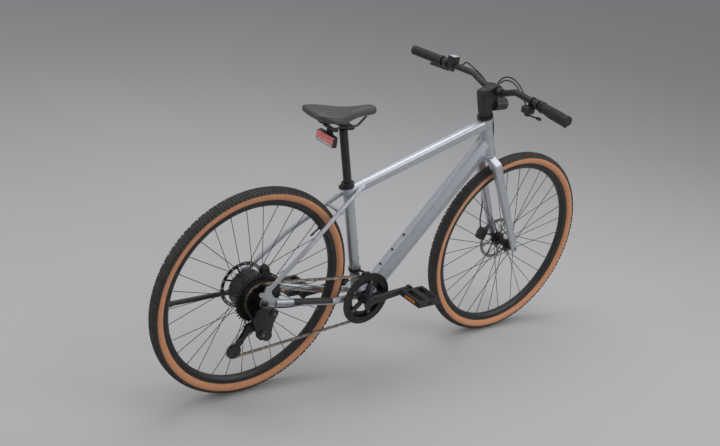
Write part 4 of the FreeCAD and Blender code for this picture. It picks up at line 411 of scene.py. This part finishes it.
def tyre(name, axle, body):
    """One tyre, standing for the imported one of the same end."""
    angles = SIDE_ANGLES + [0] + [-angle for angle in reversed(SIDE_ANGLES)]
    profile = []
    for angle in angles:
        lean = math.radians(angle)
        radius = CARCASS_CENTRE + CARCASS_HEIGHT * math.cos(lean)
        profile.append((radius, CARCASS_HALF_WIDTH * math.sin(lean)))
    profile += [(BEAD_FOOT[0], -BEAD_FOOT[1]), BEAD_FOOT]
    points, faces = turned_shape(profile, axle, ACROSS, TYRE_SEGMENTS)
    tan_bands = []
    for index in range(len(profile)):
        inside = index + 1 < len(angles)
        tan_bands.append(inside and all(
            WALL_TOP_ANGLE <= abs(angles[place]) <= BEAD_STRIP_ANGLE for place in (index, index + 1)))
    shares = [1 if tan_bands[index % len(profile)] else 0 for index in range(len(faces))]
    blocks = []
    for lean, count, length, width, height in TREAD_ROWS:
        for row_lean in sorted({lean, -lean}, reverse=True):
            for index in range(count):
                turn = 2 * math.pi * index / count
                blocks.append(tread_block(axle, turn, math.radians(row_lean), length, width, height))
    points, faces = gathered([(points, faces)] + blocks)
    shares += [0] * (len(faces) - len(shares))
    made = piece(f"{name}_tyre_treaded", points, faces, body, "tyre_rubber", [LOOKS["tyre_rubber"], tan_wall],
                 shares)
    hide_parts(f"{name}_tyre")


# Small pieces of the wheels
SPOKE_COUNT = 32
NIPPLE_PROFILE = [(0.0, 0.0), (2.1, 0.0), (2.1, 2.0), (1.7, 3.0), (1.5, 9.0), (0.0, 9.0)]
VALVE_PROFILE = [(0.0, -1.0), (4.5, -1.0), (4.5, 3.0), (2.8, 4.0), (2.8, 24.0), (3.4, 25.0), (3.4, 36.0),
                 (2.2, 38.0), (0.0, 38.0)]
RIM_BED = 297.0
NIPPLE_STAGGER = 2.0
NIPPLE_SEGMENTS = 8
VALVE_SEGMENTS = 16
# The gap between two spokes where each valve stands, counted up from the foremost spoke
VALVE_GAPS = {"front": 9, "rear": 3}
ROTOR_BOLTS = 6
ROTOR_BOLT_CIRCLE = 19
ROTOR_BOLT_TURN = 0.25


def spun(axle, radius, turn, beside=0.0):
    """A point at a radius in millimetres round a wheel."""
    return axle + Vector((radius * math.cos(turn), beside, radius * math.sin(turn))) * MM


def wheel_details(name, axle, body):
    """The small pieces of one wheel: nipples, valve and rotor bolts."""
    nipples = []
    for index in range(SPOKE_COUNT):
        turn = 2 * math.pi * index / SPOKE_COUNT
        beside = NIPPLE_STAGGER if index % 2 else -NIPPLE_STAGGER
        inward = Vector((-math.cos(turn), 0, -math.sin(turn)))
        place = spun(axle, RIM_BED, turn, beside)
        nipples.append(turned_shape(NIPPLE_PROFILE, place, inward, NIPPLE_SEGMENTS))
    points, faces = gathered(nipples)
    piece(f"{name}_nipples", points, faces, body, "axle_steel")
    valve_turn = 2 * math.pi * (VALVE_GAPS[name] + 0.5) / SPOKE_COUNT
    inward = Vector((-math.cos(valve_turn), 0, -math.sin(valve_turn)))
    turned(f"{name}_valve", VALVE_PROFILE, spun(axle, RIM_BED, valve_turn), inward, body, "black_plastic",
           VALVE_SEGMENTS)
    rotor_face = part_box(f"{name}_rotor")[1].y
    places = []
    for index in range(ROTOR_BOLTS):
        place = spun(axle, ROTOR_BOLT_CIRCLE, 2 * math.pi * (index + ROTOR_BOLT_TURN) / ROTOR_BOLTS)
        places.append(Vector((place.x, rotor_face, place.z)))
    bolts(f"{name}_rotor_bolts", places, ACROSS, ROTOR_BOLT, body)


for name, axle in (("front", FRONT_AXLE), ("rear", REAR_AXLE)):
    tyre(name, axle, f"{name}_wheel")
    wheel_details(name, axle, f"{name}_wheel")

MOTOR_BOLTS = 8
MOTOR_BOLT_CIRCLE = 47
# How far the motor's left cover lies from the wheel's middle
MOTOR_LEFT_REACH = 46
motor_faces = {"left": REAR_AXLE.y + MOTOR_LEFT_REACH * MM, "right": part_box("hub_motor")[0].y}
for name, side in SIDES.items():
    places = []
    for index in range(MOTOR_BOLTS):
        place = spun(REAR_AXLE, MOTOR_BOLT_CIRCLE, 2 * math.pi * index / MOTOR_BOLTS)
        places.append(Vector((place.x, motor_faces[name], place.z)))
    bolts(f"motor_bolts_{name}", places, ACROSS * side, MOTOR_BOLT, "rear_wheel")

# Handlebar run and grips
BAR_HEIGHT = 646
BAR_REACH = 47.4
BAR_MIDDLE = on_steering(BAR_HEIGHT, BAR_REACH)
BAR_BEND = (-6, 105, 26)
BAR_END = (-46, 378, 26)
GRIP_START = 244
GRIP_LENGTH = 134
GRIP_BORE = 11.3
GRIP_RADIUS = 16.2
GRIP_RIB = 0.7
GRIP_RIBS = 26
GRIP_RIBS_START = 13
GRIP_RIBS_SHORT = 24
RIB_RISE = 0.3
RIB_FALL = 0.8
GRIP_SWELL = 0.5
GRIP_SEGMENTS = 40
GRIP_NECK = [(GRIP_BORE, 9.5), (GRIP_RADIUS - 0.8, 9.5), (GRIP_RADIUS, 11.0)]
GRIP_END = [(GRIP_RADIUS, 124), (17.0, 127), (17.0, 134), (15.5, 137), (0.0, 137), (0.0, 134),
            (GRIP_BORE, 134)]
GRIP_RING = [(GRIP_BORE, 0.0), (17.7, 0.0), (18.5, 0.8), (18.5, 8.2), (17.7, 9.0), (GRIP_BORE, 9.0)]
LOCK_BOLT_ALONG = 4.5
LOCK_BOLT_OUT = 18.0


def bar_at(side, beside):
    """A point on the handlebar's outer run, by its distance in millimetres from the middle."""
    share = (beside - BAR_BEND[1]) / (BAR_END[1] - BAR_BEND[1])
    place = [start + (end - start) * share for start, end in zip(BAR_BEND, BAR_END)]
    return BAR_MIDDLE + Vector((place[0], side * place[1], place[2])) * MM


for name, side in SIDES.items():
    along = (bar_at(side, BAR_END[1]) - bar_at(side, BAR_BEND[1])).normalized()
    start = bar_at(side, GRIP_START)
    profile = list(GRIP_NECK)
    rib_pitch = (GRIP_LENGTH - GRIP_RIBS_SHORT) / GRIP_RIBS
    for rib in range(GRIP_RIBS):
        at = GRIP_RIBS_START + rib * rib_pitch
        crest = GRIP_RADIUS + GRIP_SWELL * math.sin(math.pi * rib / GRIP_RIBS)
        profile.append((crest - GRIP_RIB, at))
        profile += [(crest, at + share * rib_pitch) for share in (RIB_RISE, RIB_FALL)]
    profile += GRIP_END
    grip = turned(f"grip_{name}_ribbed", profile, start, along, "fork", "grip_rubber", GRIP_SEGMENTS)
    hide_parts("grips")
    turned(f"grip_{name}_lock_ring", GRIP_RING, start, along, "fork", "black_alloy", GRIP_SEGMENTS)
    lock_at = start + along * LOCK_BOLT_ALONG * MM - STEER_AHEAD * LOCK_BOLT_OUT * MM
    bolts(f"grip_{name}_lock_bolt", [lock_at], -STEER_AHEAD, LOCK_BOLT, "fork", "black_alloy")


# Hoses and cables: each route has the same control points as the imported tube's
CORD_DIAMETER = 0.005
CORD_ORDER = 3
CORD_STEPS = 12
CORD_ROUNDNESS = 4
FRONT_HOSE_ROUTE = [
    (660, 47, 206), (670, 64, 178), (694, 64, 156), (686, 64, 128), (662, 74, 98), (630, 80, 66),
    (585, 68, 40), (540, 52, 24), (487, 54, 20), (430, 50, 26), (392, 36, 50), (344, 18, 66), (300, 10, 66),
    (244, 16, 66.5), (190, 20, 66.5), (142, 16, 66), (110, 0, 62), (88, -13, 50), (72, -17, 42),
]
REAR_HOSE_ROUTE = [
    (660, 47, -206), (656, 60, -176), (650, 72, -140), (651, 91, -96), (667, 105, -62), (676, 110, -22),
    (660, 108, 24), (614, 99, 53), (552, 72, 55), (492, 47, 51), (456, 12, 49), (432, -24, 42),
    (424, -50, 25),
]
GEAR_CABLE_ROUTE = [
    (658, 21, -183), (652, 42, -158), (644, 62, -132), (644, 84, -92), (660, 97, -62), (668, 102, -24),
    (652, 100, 18), (608, 92, 44), (548, 66, 46), (490, 40, 43), (456, 8, 41), (441, -28, 36),
    (436, -50, 26.6),
]
REAR_BRAKE_ROUTE = [(236, 52.5, -37.2), (196, 57, -28.6), (160, 61, -15), (128, 61, 6), (92, 58, 28)]
GEAR_LINE_ROUTE = [
    (150, -72.4, -35), (110, -79, -32), (66, -85, -24), (24, -88, -14), (-12, -89, -28), (-20, -89, -58),
    (5, -88, -80),
]


def spline_curve(name, points):
    """A smooth curve with the route's points as its control points."""
    curve = bpy.data.curves.new(name, "CURVE")
    curve.dimensions = "3D"
    curve.resolution_u = CORD_STEPS
    line = curve.splines.new("NURBS")
    line.points.add(len(points) - 1)
    for knot, place in zip(line.points, points):
        knot.co = (*place, 1)
    line.order_u = CORD_ORDER
    line.use_endpoint_u = True
    made = bpy.data.objects.new(name, curve)
    scene.collection.objects.link(made)
    return made


def spline_line(made):
    """The points along a curve that has no bevel."""
    bpy.context.view_layer.update()
    flat = bpy.data.meshes.new_from_object(made)
    line = [corner.co.copy() for corner in flat.vertices]
    bpy.data.meshes.remove(flat)
    return line


def line_length(line):
    """How long a line of points is."""
    return sum((after - before).length for before, after in zip(line, line[1:]))


def held_cord(name, points, body, replaced):
    """A cord whose two ends are on one body."""
    made = spline_curve(name, points)
    length = line_length(spline_line(made))
    made.data.bevel_depth = CORD_DIAMETER / 2
    made.data.bevel_resolution = CORD_ROUNDNESS
    made.data.use_fill_caps = True
    made.data.materials.append(LOOKS["hose_rubber"])
    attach(made, body)
    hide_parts(replaced)
    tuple(points[0])


def steered_cord(name, points):
    """A cord from the handlebar to the frame, fixed where it lies."""
    guide = spline_curve(f"{name}_line", points)
    line = spline_line(guide)
    bpy.data.objects.remove(guide)
    tube_points, tube_faces = tube_shape(line, CORD_DIAMETER / 2)
    made = dressed(name, tube_points, tube_faces, "hose_rubber")
    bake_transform(made)
    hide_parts("control_cables")
    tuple(line[0])
    round(line_length(line), 3)


held_cord("front_hose_line", [on_steering(*point) for point in FRONT_HOSE_ROUTE], "fork", "front_brake_hose")
steered_cord("rear_hose_upper", [on_steering(*point) for point in REAR_HOSE_ROUTE])
steered_cord("gear_cable_upper", [on_steering(*point) for point in GEAR_CABLE_ROUTE])
held_cord("rear_hose_lower", [from_axle(*point) for point in REAR_BRAKE_ROUTE], "frame", "rear_cables")
held_cord("gear_cable_lower", [from_axle(*point) for point in GEAR_LINE_ROUTE], "frame", "rear_cables")

# Saddle: a padded shell, crowned and waisted, with a raised seam along each side
SADDLE_REAR = 123.0
SADDLE_LENGTH = 256.0
SADDLE_HALF_WIDTH = 68.0
# Each station: share of the length, share of the half width, top and base above the rear axle in millimetres
SADDLE_STATIONS = [
    (0.0, 0.48, 589, 578), (0.02, 0.65, 593.5, 574), (0.06, 0.84, 597, 568), (0.13, 0.96, 597.5, 562),
    (0.22, 1.0, 595.5, 557), (0.3, 0.98, 593, 554), (0.38, 0.9, 590.8, 552), (0.47, 0.74, 589.3, 551),
    (0.56, 0.56, 588.8, 553), (0.66, 0.43, 589.3, 557), (0.76, 0.355, 590.6, 560), (0.86, 0.31, 592, 561),
    (0.94, 0.28, 592, 562), (0.98, 0.22, 589, 565), (1.0, 0.12, 584.5, 570),
]
SADDLE_AROUND = 28
SADDLE_BETWEEN = 3
CHANNEL_DEPTH = 2.2
CHANNEL_HALF_WIDTH = 8.0
EDGE_LEVEL = 0.42
EDGE_ROUNDING = 0.75
TOP_ROUNDING = 0.85
SKIRT_ROUNDING = 0.7
SKIRT_DRAW = 0.3
SKIRT_DRAW_POWER = 1.5


def eased(before, start, end, after, share):
    """A smooth value between start and end, with the slopes of their neighbours."""
    return 0.5 * (2 * start + (end - before) * share + (2 * before - 5 * start + 4 * end - after) * share ** 2
                  + (3 * start - before - 3 * end + after) * share ** 3)


def smooth_stations(stations, between):
    """The stations with more of them eased in between."""
    fuller = []
    last = len(stations) - 1
    for index in range(last):
        before = stations[max(index - 1, 0)]
        after = stations[min(index + 2, last)]
        for step in range(between):
            share = step / between
            quads = zip(before, stations[index], stations[index + 1], after)
            fuller.append(tuple(eased(*quad, share) for quad in quads))
    return fuller + [stations[-1]]


def saddle_ring(share, spread, top, base):
    """The points round one cross-section of the saddle, from one edge over the top and back under."""
    half = SADDLE_HALF_WIDTH * spread
    ahead = SADDLE_REAR + SADDLE_LENGTH * share
    level = base + EDGE_LEVEL * (top - base)
    points = []
    for step in range(SADDLE_AROUND):
        turn = 2 * math.pi * step / SADDLE_AROUND
        across = math.copysign(abs(math.cos(turn)) ** EDGE_ROUNDING, math.cos(turn))
        lift = math.sin(turn)
        if lift >= 0:
            beside = half * across
            above = level + (top - level) * lift ** TOP_ROUNDING
            middle_share = math.exp(-(beside / CHANNEL_HALF_WIDTH) ** 2)
            above -= CHANNEL_DEPTH * middle_share * math.sin(math.pi * min(max(share, 0), 1))
        else:
            drawn_in = 1 - SKIRT_DRAW * (-lift) ** SKIRT_DRAW_POWER
            beside = half * across * drawn_in
            above = level + (level - base) * -((-lift) ** SKIRT_ROUNDING)
        points.append(from_axle(ahead, beside, above))
    return points


saddle_rings = [saddle_ring(*station) for station in smooth_stations(SADDLE_STATIONS, SADDLE_BETWEEN)]
saddle_points = [point for ring in saddle_rings for point in ring]
saddle_faces = []
for index in range(len(saddle_rings) - 1):
    for step in range(SADDLE_AROUND):
        beyond = (step + 1) % SADDLE_AROUND
        here = index * SADDLE_AROUND
        after = here + SADDLE_AROUND
        saddle_faces.append((here + step, here + beyond, after + beyond, after + step))
saddle_faces.append(tuple(range(SADDLE_AROUND)))
last_ring = (len(saddle_rings) - 1) * SADDLE_AROUND
saddle_faces.append(tuple(last_ring + step for step in reversed(range(SADDLE_AROUND))))
saddle = piece("saddle_padded", saddle_points, saddle_faces, "seat", "saddle_cover")
saddle.data.set_sharp_from_angle(angle=math.pi)
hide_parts("saddle")
SEAM_STEP = 2
SEAM_RADIUS = 0.0011
SEAM_SHORT = 5
SEAM_SIDES = 8
for name, step in (("left", SEAM_STEP), ("right", SADDLE_AROUND // 2 - SEAM_STEP)):
    line = [ring[step] for ring in saddle_rings[SEAM_SHORT:-SEAM_SHORT]]
    points, faces = tube_shape(line, SEAM_RADIUS, SEAM_SIDES)
    piece(f"saddle_seam_{name}", points, faces, "seat", "saddle_cover")

# Lights, display and pedal reflectors, with a pale strip of painted glint under the tail light's red lens
TAIL_HEIGHT = 496
TAIL_LENS = (6, 86, 26)
TAIL_LENS_EDGE = 2.4
TAIL_LENS_SINK = 1
TAIL_LENS_RISE = 3.5
# The tail light's near-white strip is a painted highlight that stands for the glints along the red lens's lower
# edge
TAIL_GLINT_STRIP = (5, 80, 5.5)
TAIL_GLINT_STRIP_EDGE = 1.6
TAIL_GLINT_STRIP_SINK = 1.5
TAIL_GLINT_STRIP_DROP = 12.5
tail_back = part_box("tail_light")[0].x
tail_level = from_axle(0, 0, TAIL_HEIGHT).z
lens_middle = Vector((tail_back + TAIL_LENS_SINK * MM, 0, tail_level + TAIL_LENS_RISE * MM))
glint_strip_middle = Vector((tail_back + TAIL_GLINT_STRIP_SINK * MM, 0, tail_level - TAIL_GLINT_STRIP_DROP * MM))
slab("tail_lens", lens_middle, TAIL_LENS, TAIL_LENS_EDGE, "seat", "light_red", [red_lens])
# Painted highlight: a pale slab in place of the glints under the red lens
slab("tail_glint_strip", glint_strip_middle, TAIL_GLINT_STRIP, TAIL_GLINT_STRIP_EDGE, "seat", "light_red", [clear_lens_and_painted_glint])

LIGHT_HEIGHT = 584
LIGHT_REACH = 64
BEZEL_PROFILE = [(17.5, -4.0), (22.3, -4.0), (22.3, 0.5), (20.5, 2.0), (17.5, 1.2)]
LENS_PROFILE = [(0.0, -3.0), (17.6, -3.0), (17.6, 0.2), (13.0, 1.4), (7.0, 2.2), (0.0, 2.5)]
light_face = Vector((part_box("headlight")[1].x, 0, on_steering(LIGHT_HEIGHT, LIGHT_REACH).z))
turned("headlight_bezel", BEZEL_PROFILE, light_face, AHEAD, "fork", "black_alloy")
turned("headlight_lens", LENS_PROFILE, light_face, AHEAD, "fork", "black_plastic", looks=[clear_lens_and_painted_glint])

DISPLAY_AT = 196
SCREEN = (25, 24, 2.0)
SCREEN_EDGE = 0.9
SCREEN_SETBACK = 3
display_at = bar_at(1, DISPLAY_AT)
display_face = Vector((display_at.x - SCREEN_SETBACK * MM, display_at.y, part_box("display")[1].z))
slab("display_screen", display_face, SCREEN, SCREEN_EDGE, "fork", "black_plastic", [pale_screen])

REFLECTOR = (3, 52, 9)
REFLECTOR_EDGE = 1.0
for name in SIDES:
    pedal_middle = middle(f"pedal_{name}")
    shapes = []
    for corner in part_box(f"pedal_{name}"):
        place = Vector((corner.x, pedal_middle.y, pedal_middle.z))
        shapes.append(slab_shape(place, REFLECTOR, REFLECTOR_EDGE))
    points, faces = gathered(shapes)
    piece(f"pedal_{name}_reflectors", points, faces, f"pedal_{name}", "black_plastic", [amber_lens])

# Rubber guard over the upper side of the right chainstay
GUARD_START = from_axle(286, -47.9, -63.9)
GUARD_END = from_axle(116, -63.4, -27.4)
STAY_HALF_WIDTH = 9.0
STAY_HALF_HEIGHT = 12.5
GUARD_THICKNESS = 1.3
GUARD_CLEARANCE = 0.1
GUARD_STEPS = 14
GUARD_WRAP = math.radians(205)


def guard_ring(centre, along):
    """One cross-section of the guard: its outer arc from one side over the top, then its inner arc back."""
    side = along.cross(UP).normalized()
    over = side.cross(along)
    points = []
    outer_steps = range(GUARD_STEPS + 1)
    for lift, steps in ((GUARD_THICKNESS, outer_steps), (GUARD_CLEARANCE, reversed(outer_steps))):
        for step in steps:
            turn = math.pi / 2 + GUARD_WRAP * (step / GUARD_STEPS - 0.5)
            beside = side * math.cos(turn) * (STAY_HALF_WIDTH + lift)
            above = over * math.sin(turn) * (STAY_HALF_HEIGHT + lift)
            points.append(centre + (beside + above) * MM)
    return points


along_stay = (GUARD_END - GUARD_START).normalized()
points = guard_ring(GUARD_START, along_stay) + guard_ring(GUARD_END, along_stay)
count = len(points) // 2
faces = [(index, (index + 1) % count, (index + 1) % count + count, index + count) for index in range(count)]
faces += [tuple(range(count)), tuple(range(2 * count - 1, count - 1, -1))]
piece("chainstay_guard", points, faces, "frame", "hose_rubber", [guard_rubber])

# The derailleur's outer cover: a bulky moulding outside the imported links, with a knuckle at each end
COVER_OUTLINE = [
    (30, -18), (34, -34), (20, -70), (6, -82), (0, -102), (-16, -112), (-33, -102), (-38, -72), (-47, -42),
    (-40, -10), (-20, 2), (10, -4),
]
# The cover's outer and inner faces, beside the rear axle
COVER_FACES = (-106, -93)
COVER_EDGE = 3.5
# Each knuckle: its place ahead of and above the rear axle, and its radius
COVER_KNUCKLES = [((17, -24), 15), ((-16, -94), 17)]
KNUCKLE_SINK = 0.5
KNUCKLE_SEGMENTS = 32
# A knuckle's profile and its bolt's place, as shares of its radius
KNUCKLE_BOLT_OUT = 0.3
KNUCKLE_PROFILE = [(0.0, 0.0), (1.0, 0.0), (1.0, 0.22), (0.86, 0.34), (0.0, 0.34)]


def moulding_shape(outline, near, far, edge):
    """Points and faces of a plate with rounded edges, from its outline ahead of and above the rear axle."""
    shell = bmesh.new()
    corners = [shell.verts.new(from_axle(ahead, near, above)) for ahead, above in outline]
    face = shell.faces.new(corners)
    made = bmesh.ops.extrude_face_region(shell, geom=[face])
    moved = [item for item in made["geom"] if isinstance(item, bmesh.types.BMVert)]
    bmesh.ops.translate(shell, vec=ACROSS * (far - near) * MM, verts=moved)
    return rounded_shape(shell, edge)


cover_shapes = [moulding_shape(COVER_OUTLINE, *COVER_FACES, COVER_EDGE)]
for (ahead, above), radius in COVER_KNUCKLES:
    profile = [(radius * share, radius * along) for share, along in KNUCKLE_PROFILE]
    knuckle_at = from_axle(ahead, COVER_FACES[0] + KNUCKLE_SINK, above)
    cover_shapes.append(turned_shape(profile, knuckle_at, -ACROSS, KNUCKLE_SEGMENTS))
points, faces = gathered(cover_shapes)
piece("derailleur_cover", points, faces, "frame", "black_plastic", [dark_moulding])

# Bolts, seals and caps that show on the frame, the cockpit and the drive
CAP_SEGMENTS = 40
SEAT_TUBE_LENGTH = 430
SEAL_PROFILE = [(13.9, 0.1), (20.5, 0.1), (19.5, 1.6), (14.3, 2.6)]
seat_tube_top = BRACKET + SEAT_UP * SEAT_TUBE_LENGTH * MM
turned("seat_tube_seal", SEAL_PROFILE, seat_tube_top, SEAT_UP, "frame", "black_plastic", CAP_SEGMENTS)

STEM_TOP = 663.6
STEM_CAP_BOLT_AT = 667.0
STEM_CAP_PROFILE = [(0.0, 0.0), (16.5, 0.0), (16.5, 2.2), (15.0, 3.6), (0.0, 3.6)]
turned("stem_cap", STEM_CAP_PROFILE, on_steering(STEM_TOP), STEER_UP, "fork", "black_alloy", CAP_SEGMENTS)
bolts("stem_cap_bolt", [on_steering(STEM_CAP_BOLT_AT)], STEER_UP, STEM_CAP_BOLT, "fork")
FACE_BOLT_RISE = 14.5
FACE_BOLT_OUT = 14.5
FACE_BOLT_BESIDE = 11
face_bolts = []
for rise in (-FACE_BOLT_RISE, FACE_BOLT_RISE):
    for beside in (-FACE_BOLT_BESIDE, FACE_BOLT_BESIDE):
        face_bolts.append(on_steering(BAR_HEIGHT + rise, BAR_REACH + FACE_BOLT_OUT, beside))
bolts("stem_face_bolts", face_bolts, STEER_AHEAD, STEM_FACE_BOLT, "fork")

CRANK_FACE = 80
CRANK_CAP_PROFILE = [(0.0, -2.0), (12.5, -2.0), (12.5, 0.8), (11.0, 1.8), (4.0, 1.8), (3.6, 0.4), (0.0, 0.4)]
for name, side in SIDES.items():
    cap_at = BRACKET + ACROSS * side * CRANK_FACE * MM
    turned(f"crank_cap_{name}", CRANK_CAP_PROFILE, cap_at, ACROSS * side, "crank", "black_plastic",
           CAP_SEGMENTS)

CHAINRING_BOLTS = 5
CHAINRING_BOLT_CIRCLE = 60
CHAINRING_BOLT_TURN = math.radians(5)
SPIDER_SETBACK = 3.4
ring_bolts = []
spider_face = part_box("chainring")[0].y + SPIDER_SETBACK * MM
for index in range(CHAINRING_BOLTS):
    place = spun(BRACKET, CHAINRING_BOLT_CIRCLE, CHAINRING_BOLT_TURN + 2 * math.pi * index / CHAINRING_BOLTS)
    ring_bolts.append(Vector((place.x, spider_face, place.z)))
bolts("chainring_bolts", ring_bolts, -ACROSS, CHAINRING_BOLT, "crank")

knuckle_caps = []
for (ahead, above), radius in COVER_KNUCKLES:
    knuckle_caps.append(from_axle(ahead, COVER_FACES[0] - KNUCKLE_BOLT_OUT * radius, above))
bolts("derailleur_bolts", knuckle_caps, -ACROSS, DERAILLEUR_BOLT, "frame")

# Floor, lights and camera
FLOOR_HALF = 30.0
FLOOR_DARK = (0.52, 0.52, 0.525)
FLOOR_PALE = (0.54, 0.54, 0.545)
FLOOR_BLOTCH = 0.6
FLOOR_ROUGHNESS = 0.85
floor_mesh = bpy.data.meshes.new("floor")
floor_corners = [(x * FLOOR_HALF, y * FLOOR_HALF, 0) for x, y in ((-1, -1), (1, -1), (1, 1), (-1, 1))]
floor_mesh.from_pydata(floor_corners, [], [(0, 1, 2, 3)])
floor = bpy.data.objects.new("floor", floor_mesh)
scene.collection.objects.link(floor)
floor_look, floor_tree, floor_bsdf = shader("floor_paper")
tinted(floor_tree, floor_bsdf, grain(floor_tree, FLOOR_BLOTCH), FLOOR_DARK, FLOOR_PALE)
floor_bsdf.inputs["Roughness"].default_value = FLOOR_ROUGHNESS
floor_mesh.materials.append(floor_look)

WORLD_COLOUR = (0.95, 0.97, 1.0, 1)
WORLD_STRENGTH = 0.32
world = bpy.data.worlds.new("studio")
world.use_nodes = True
background = world.node_tree.nodes["Background"]
background.inputs["Color"].default_value = WORLD_COLOUR
background.inputs["Strength"].default_value = WORLD_STRENGTH
scene.world = world


def softbox(name, place, target, width, height, power):
    """A rectangular lamp that faces a point."""
    lamp = bpy.data.lights.new(name, "AREA")
    lamp.shape = "RECTANGLE"
    lamp.size = width
    lamp.size_y = height
    lamp.energy = power
    made = bpy.data.objects.new(name, lamp)
    scene.collection.objects.link(made)
    made.location = place
    made.rotation_euler = (Vector(target) - Vector(place)).to_track_quat("-Z", "Y").to_euler()


softbox("overhead", (0.3, 0.3, 3.2), target=(0, 0, 0.4), width=3.4, height=2.8, power=51)
softbox("right_fill", (2.4, -2.9, 2.3), target=(0, 0, 0.5), width=2.6, height=2.2, power=42)
softbox("rear_rim", (-2.8, 1.0, 2.0), target=(0, 0, 0.5), width=1.0, height=1.6, power=16)

CAMERA_PLACE = Vector((-2.452, -2.589, 2.016))
CAMERA_AZIMUTH = math.radians(-41.526)
CAMERA_ELEVATION = math.radians(23.140)
CAMERA_ROLL = math.radians(9.655)
CAMERA_LENS = 57.38
SENSOR_WIDTH = 36
back = Vector((math.sin(CAMERA_AZIMUTH) * math.cos(CAMERA_ELEVATION),
               -math.cos(CAMERA_AZIMUTH) * math.cos(CAMERA_ELEVATION), math.sin(CAMERA_ELEVATION)))
level_right = Vector((math.cos(CAMERA_AZIMUTH), math.sin(CAMERA_AZIMUTH), 0))
level_up = back.cross(level_right)
right = level_right * math.cos(CAMERA_ROLL) + level_up * math.sin(CAMERA_ROLL)
upright = level_up * math.cos(CAMERA_ROLL) - level_right * math.sin(CAMERA_ROLL)
camera = bpy.data.objects.new("camera", bpy.data.cameras.new("camera"))
camera.data.lens = CAMERA_LENS
camera.data.sensor_width = SENSOR_WIDTH
camera.matrix_world = Matrix((
    (right.x, upright.x, back.x, CAMERA_PLACE.x),
    (right.y, upright.y, back.y, CAMERA_PLACE.y),
    (right.z, upright.z, back.z, CAMERA_PLACE.z),
    (0, 0, 0, 1),
))
scene.collection.objects.link(camera)
scene.camera = camera
scene.view_settings.view_transform = "Standard"
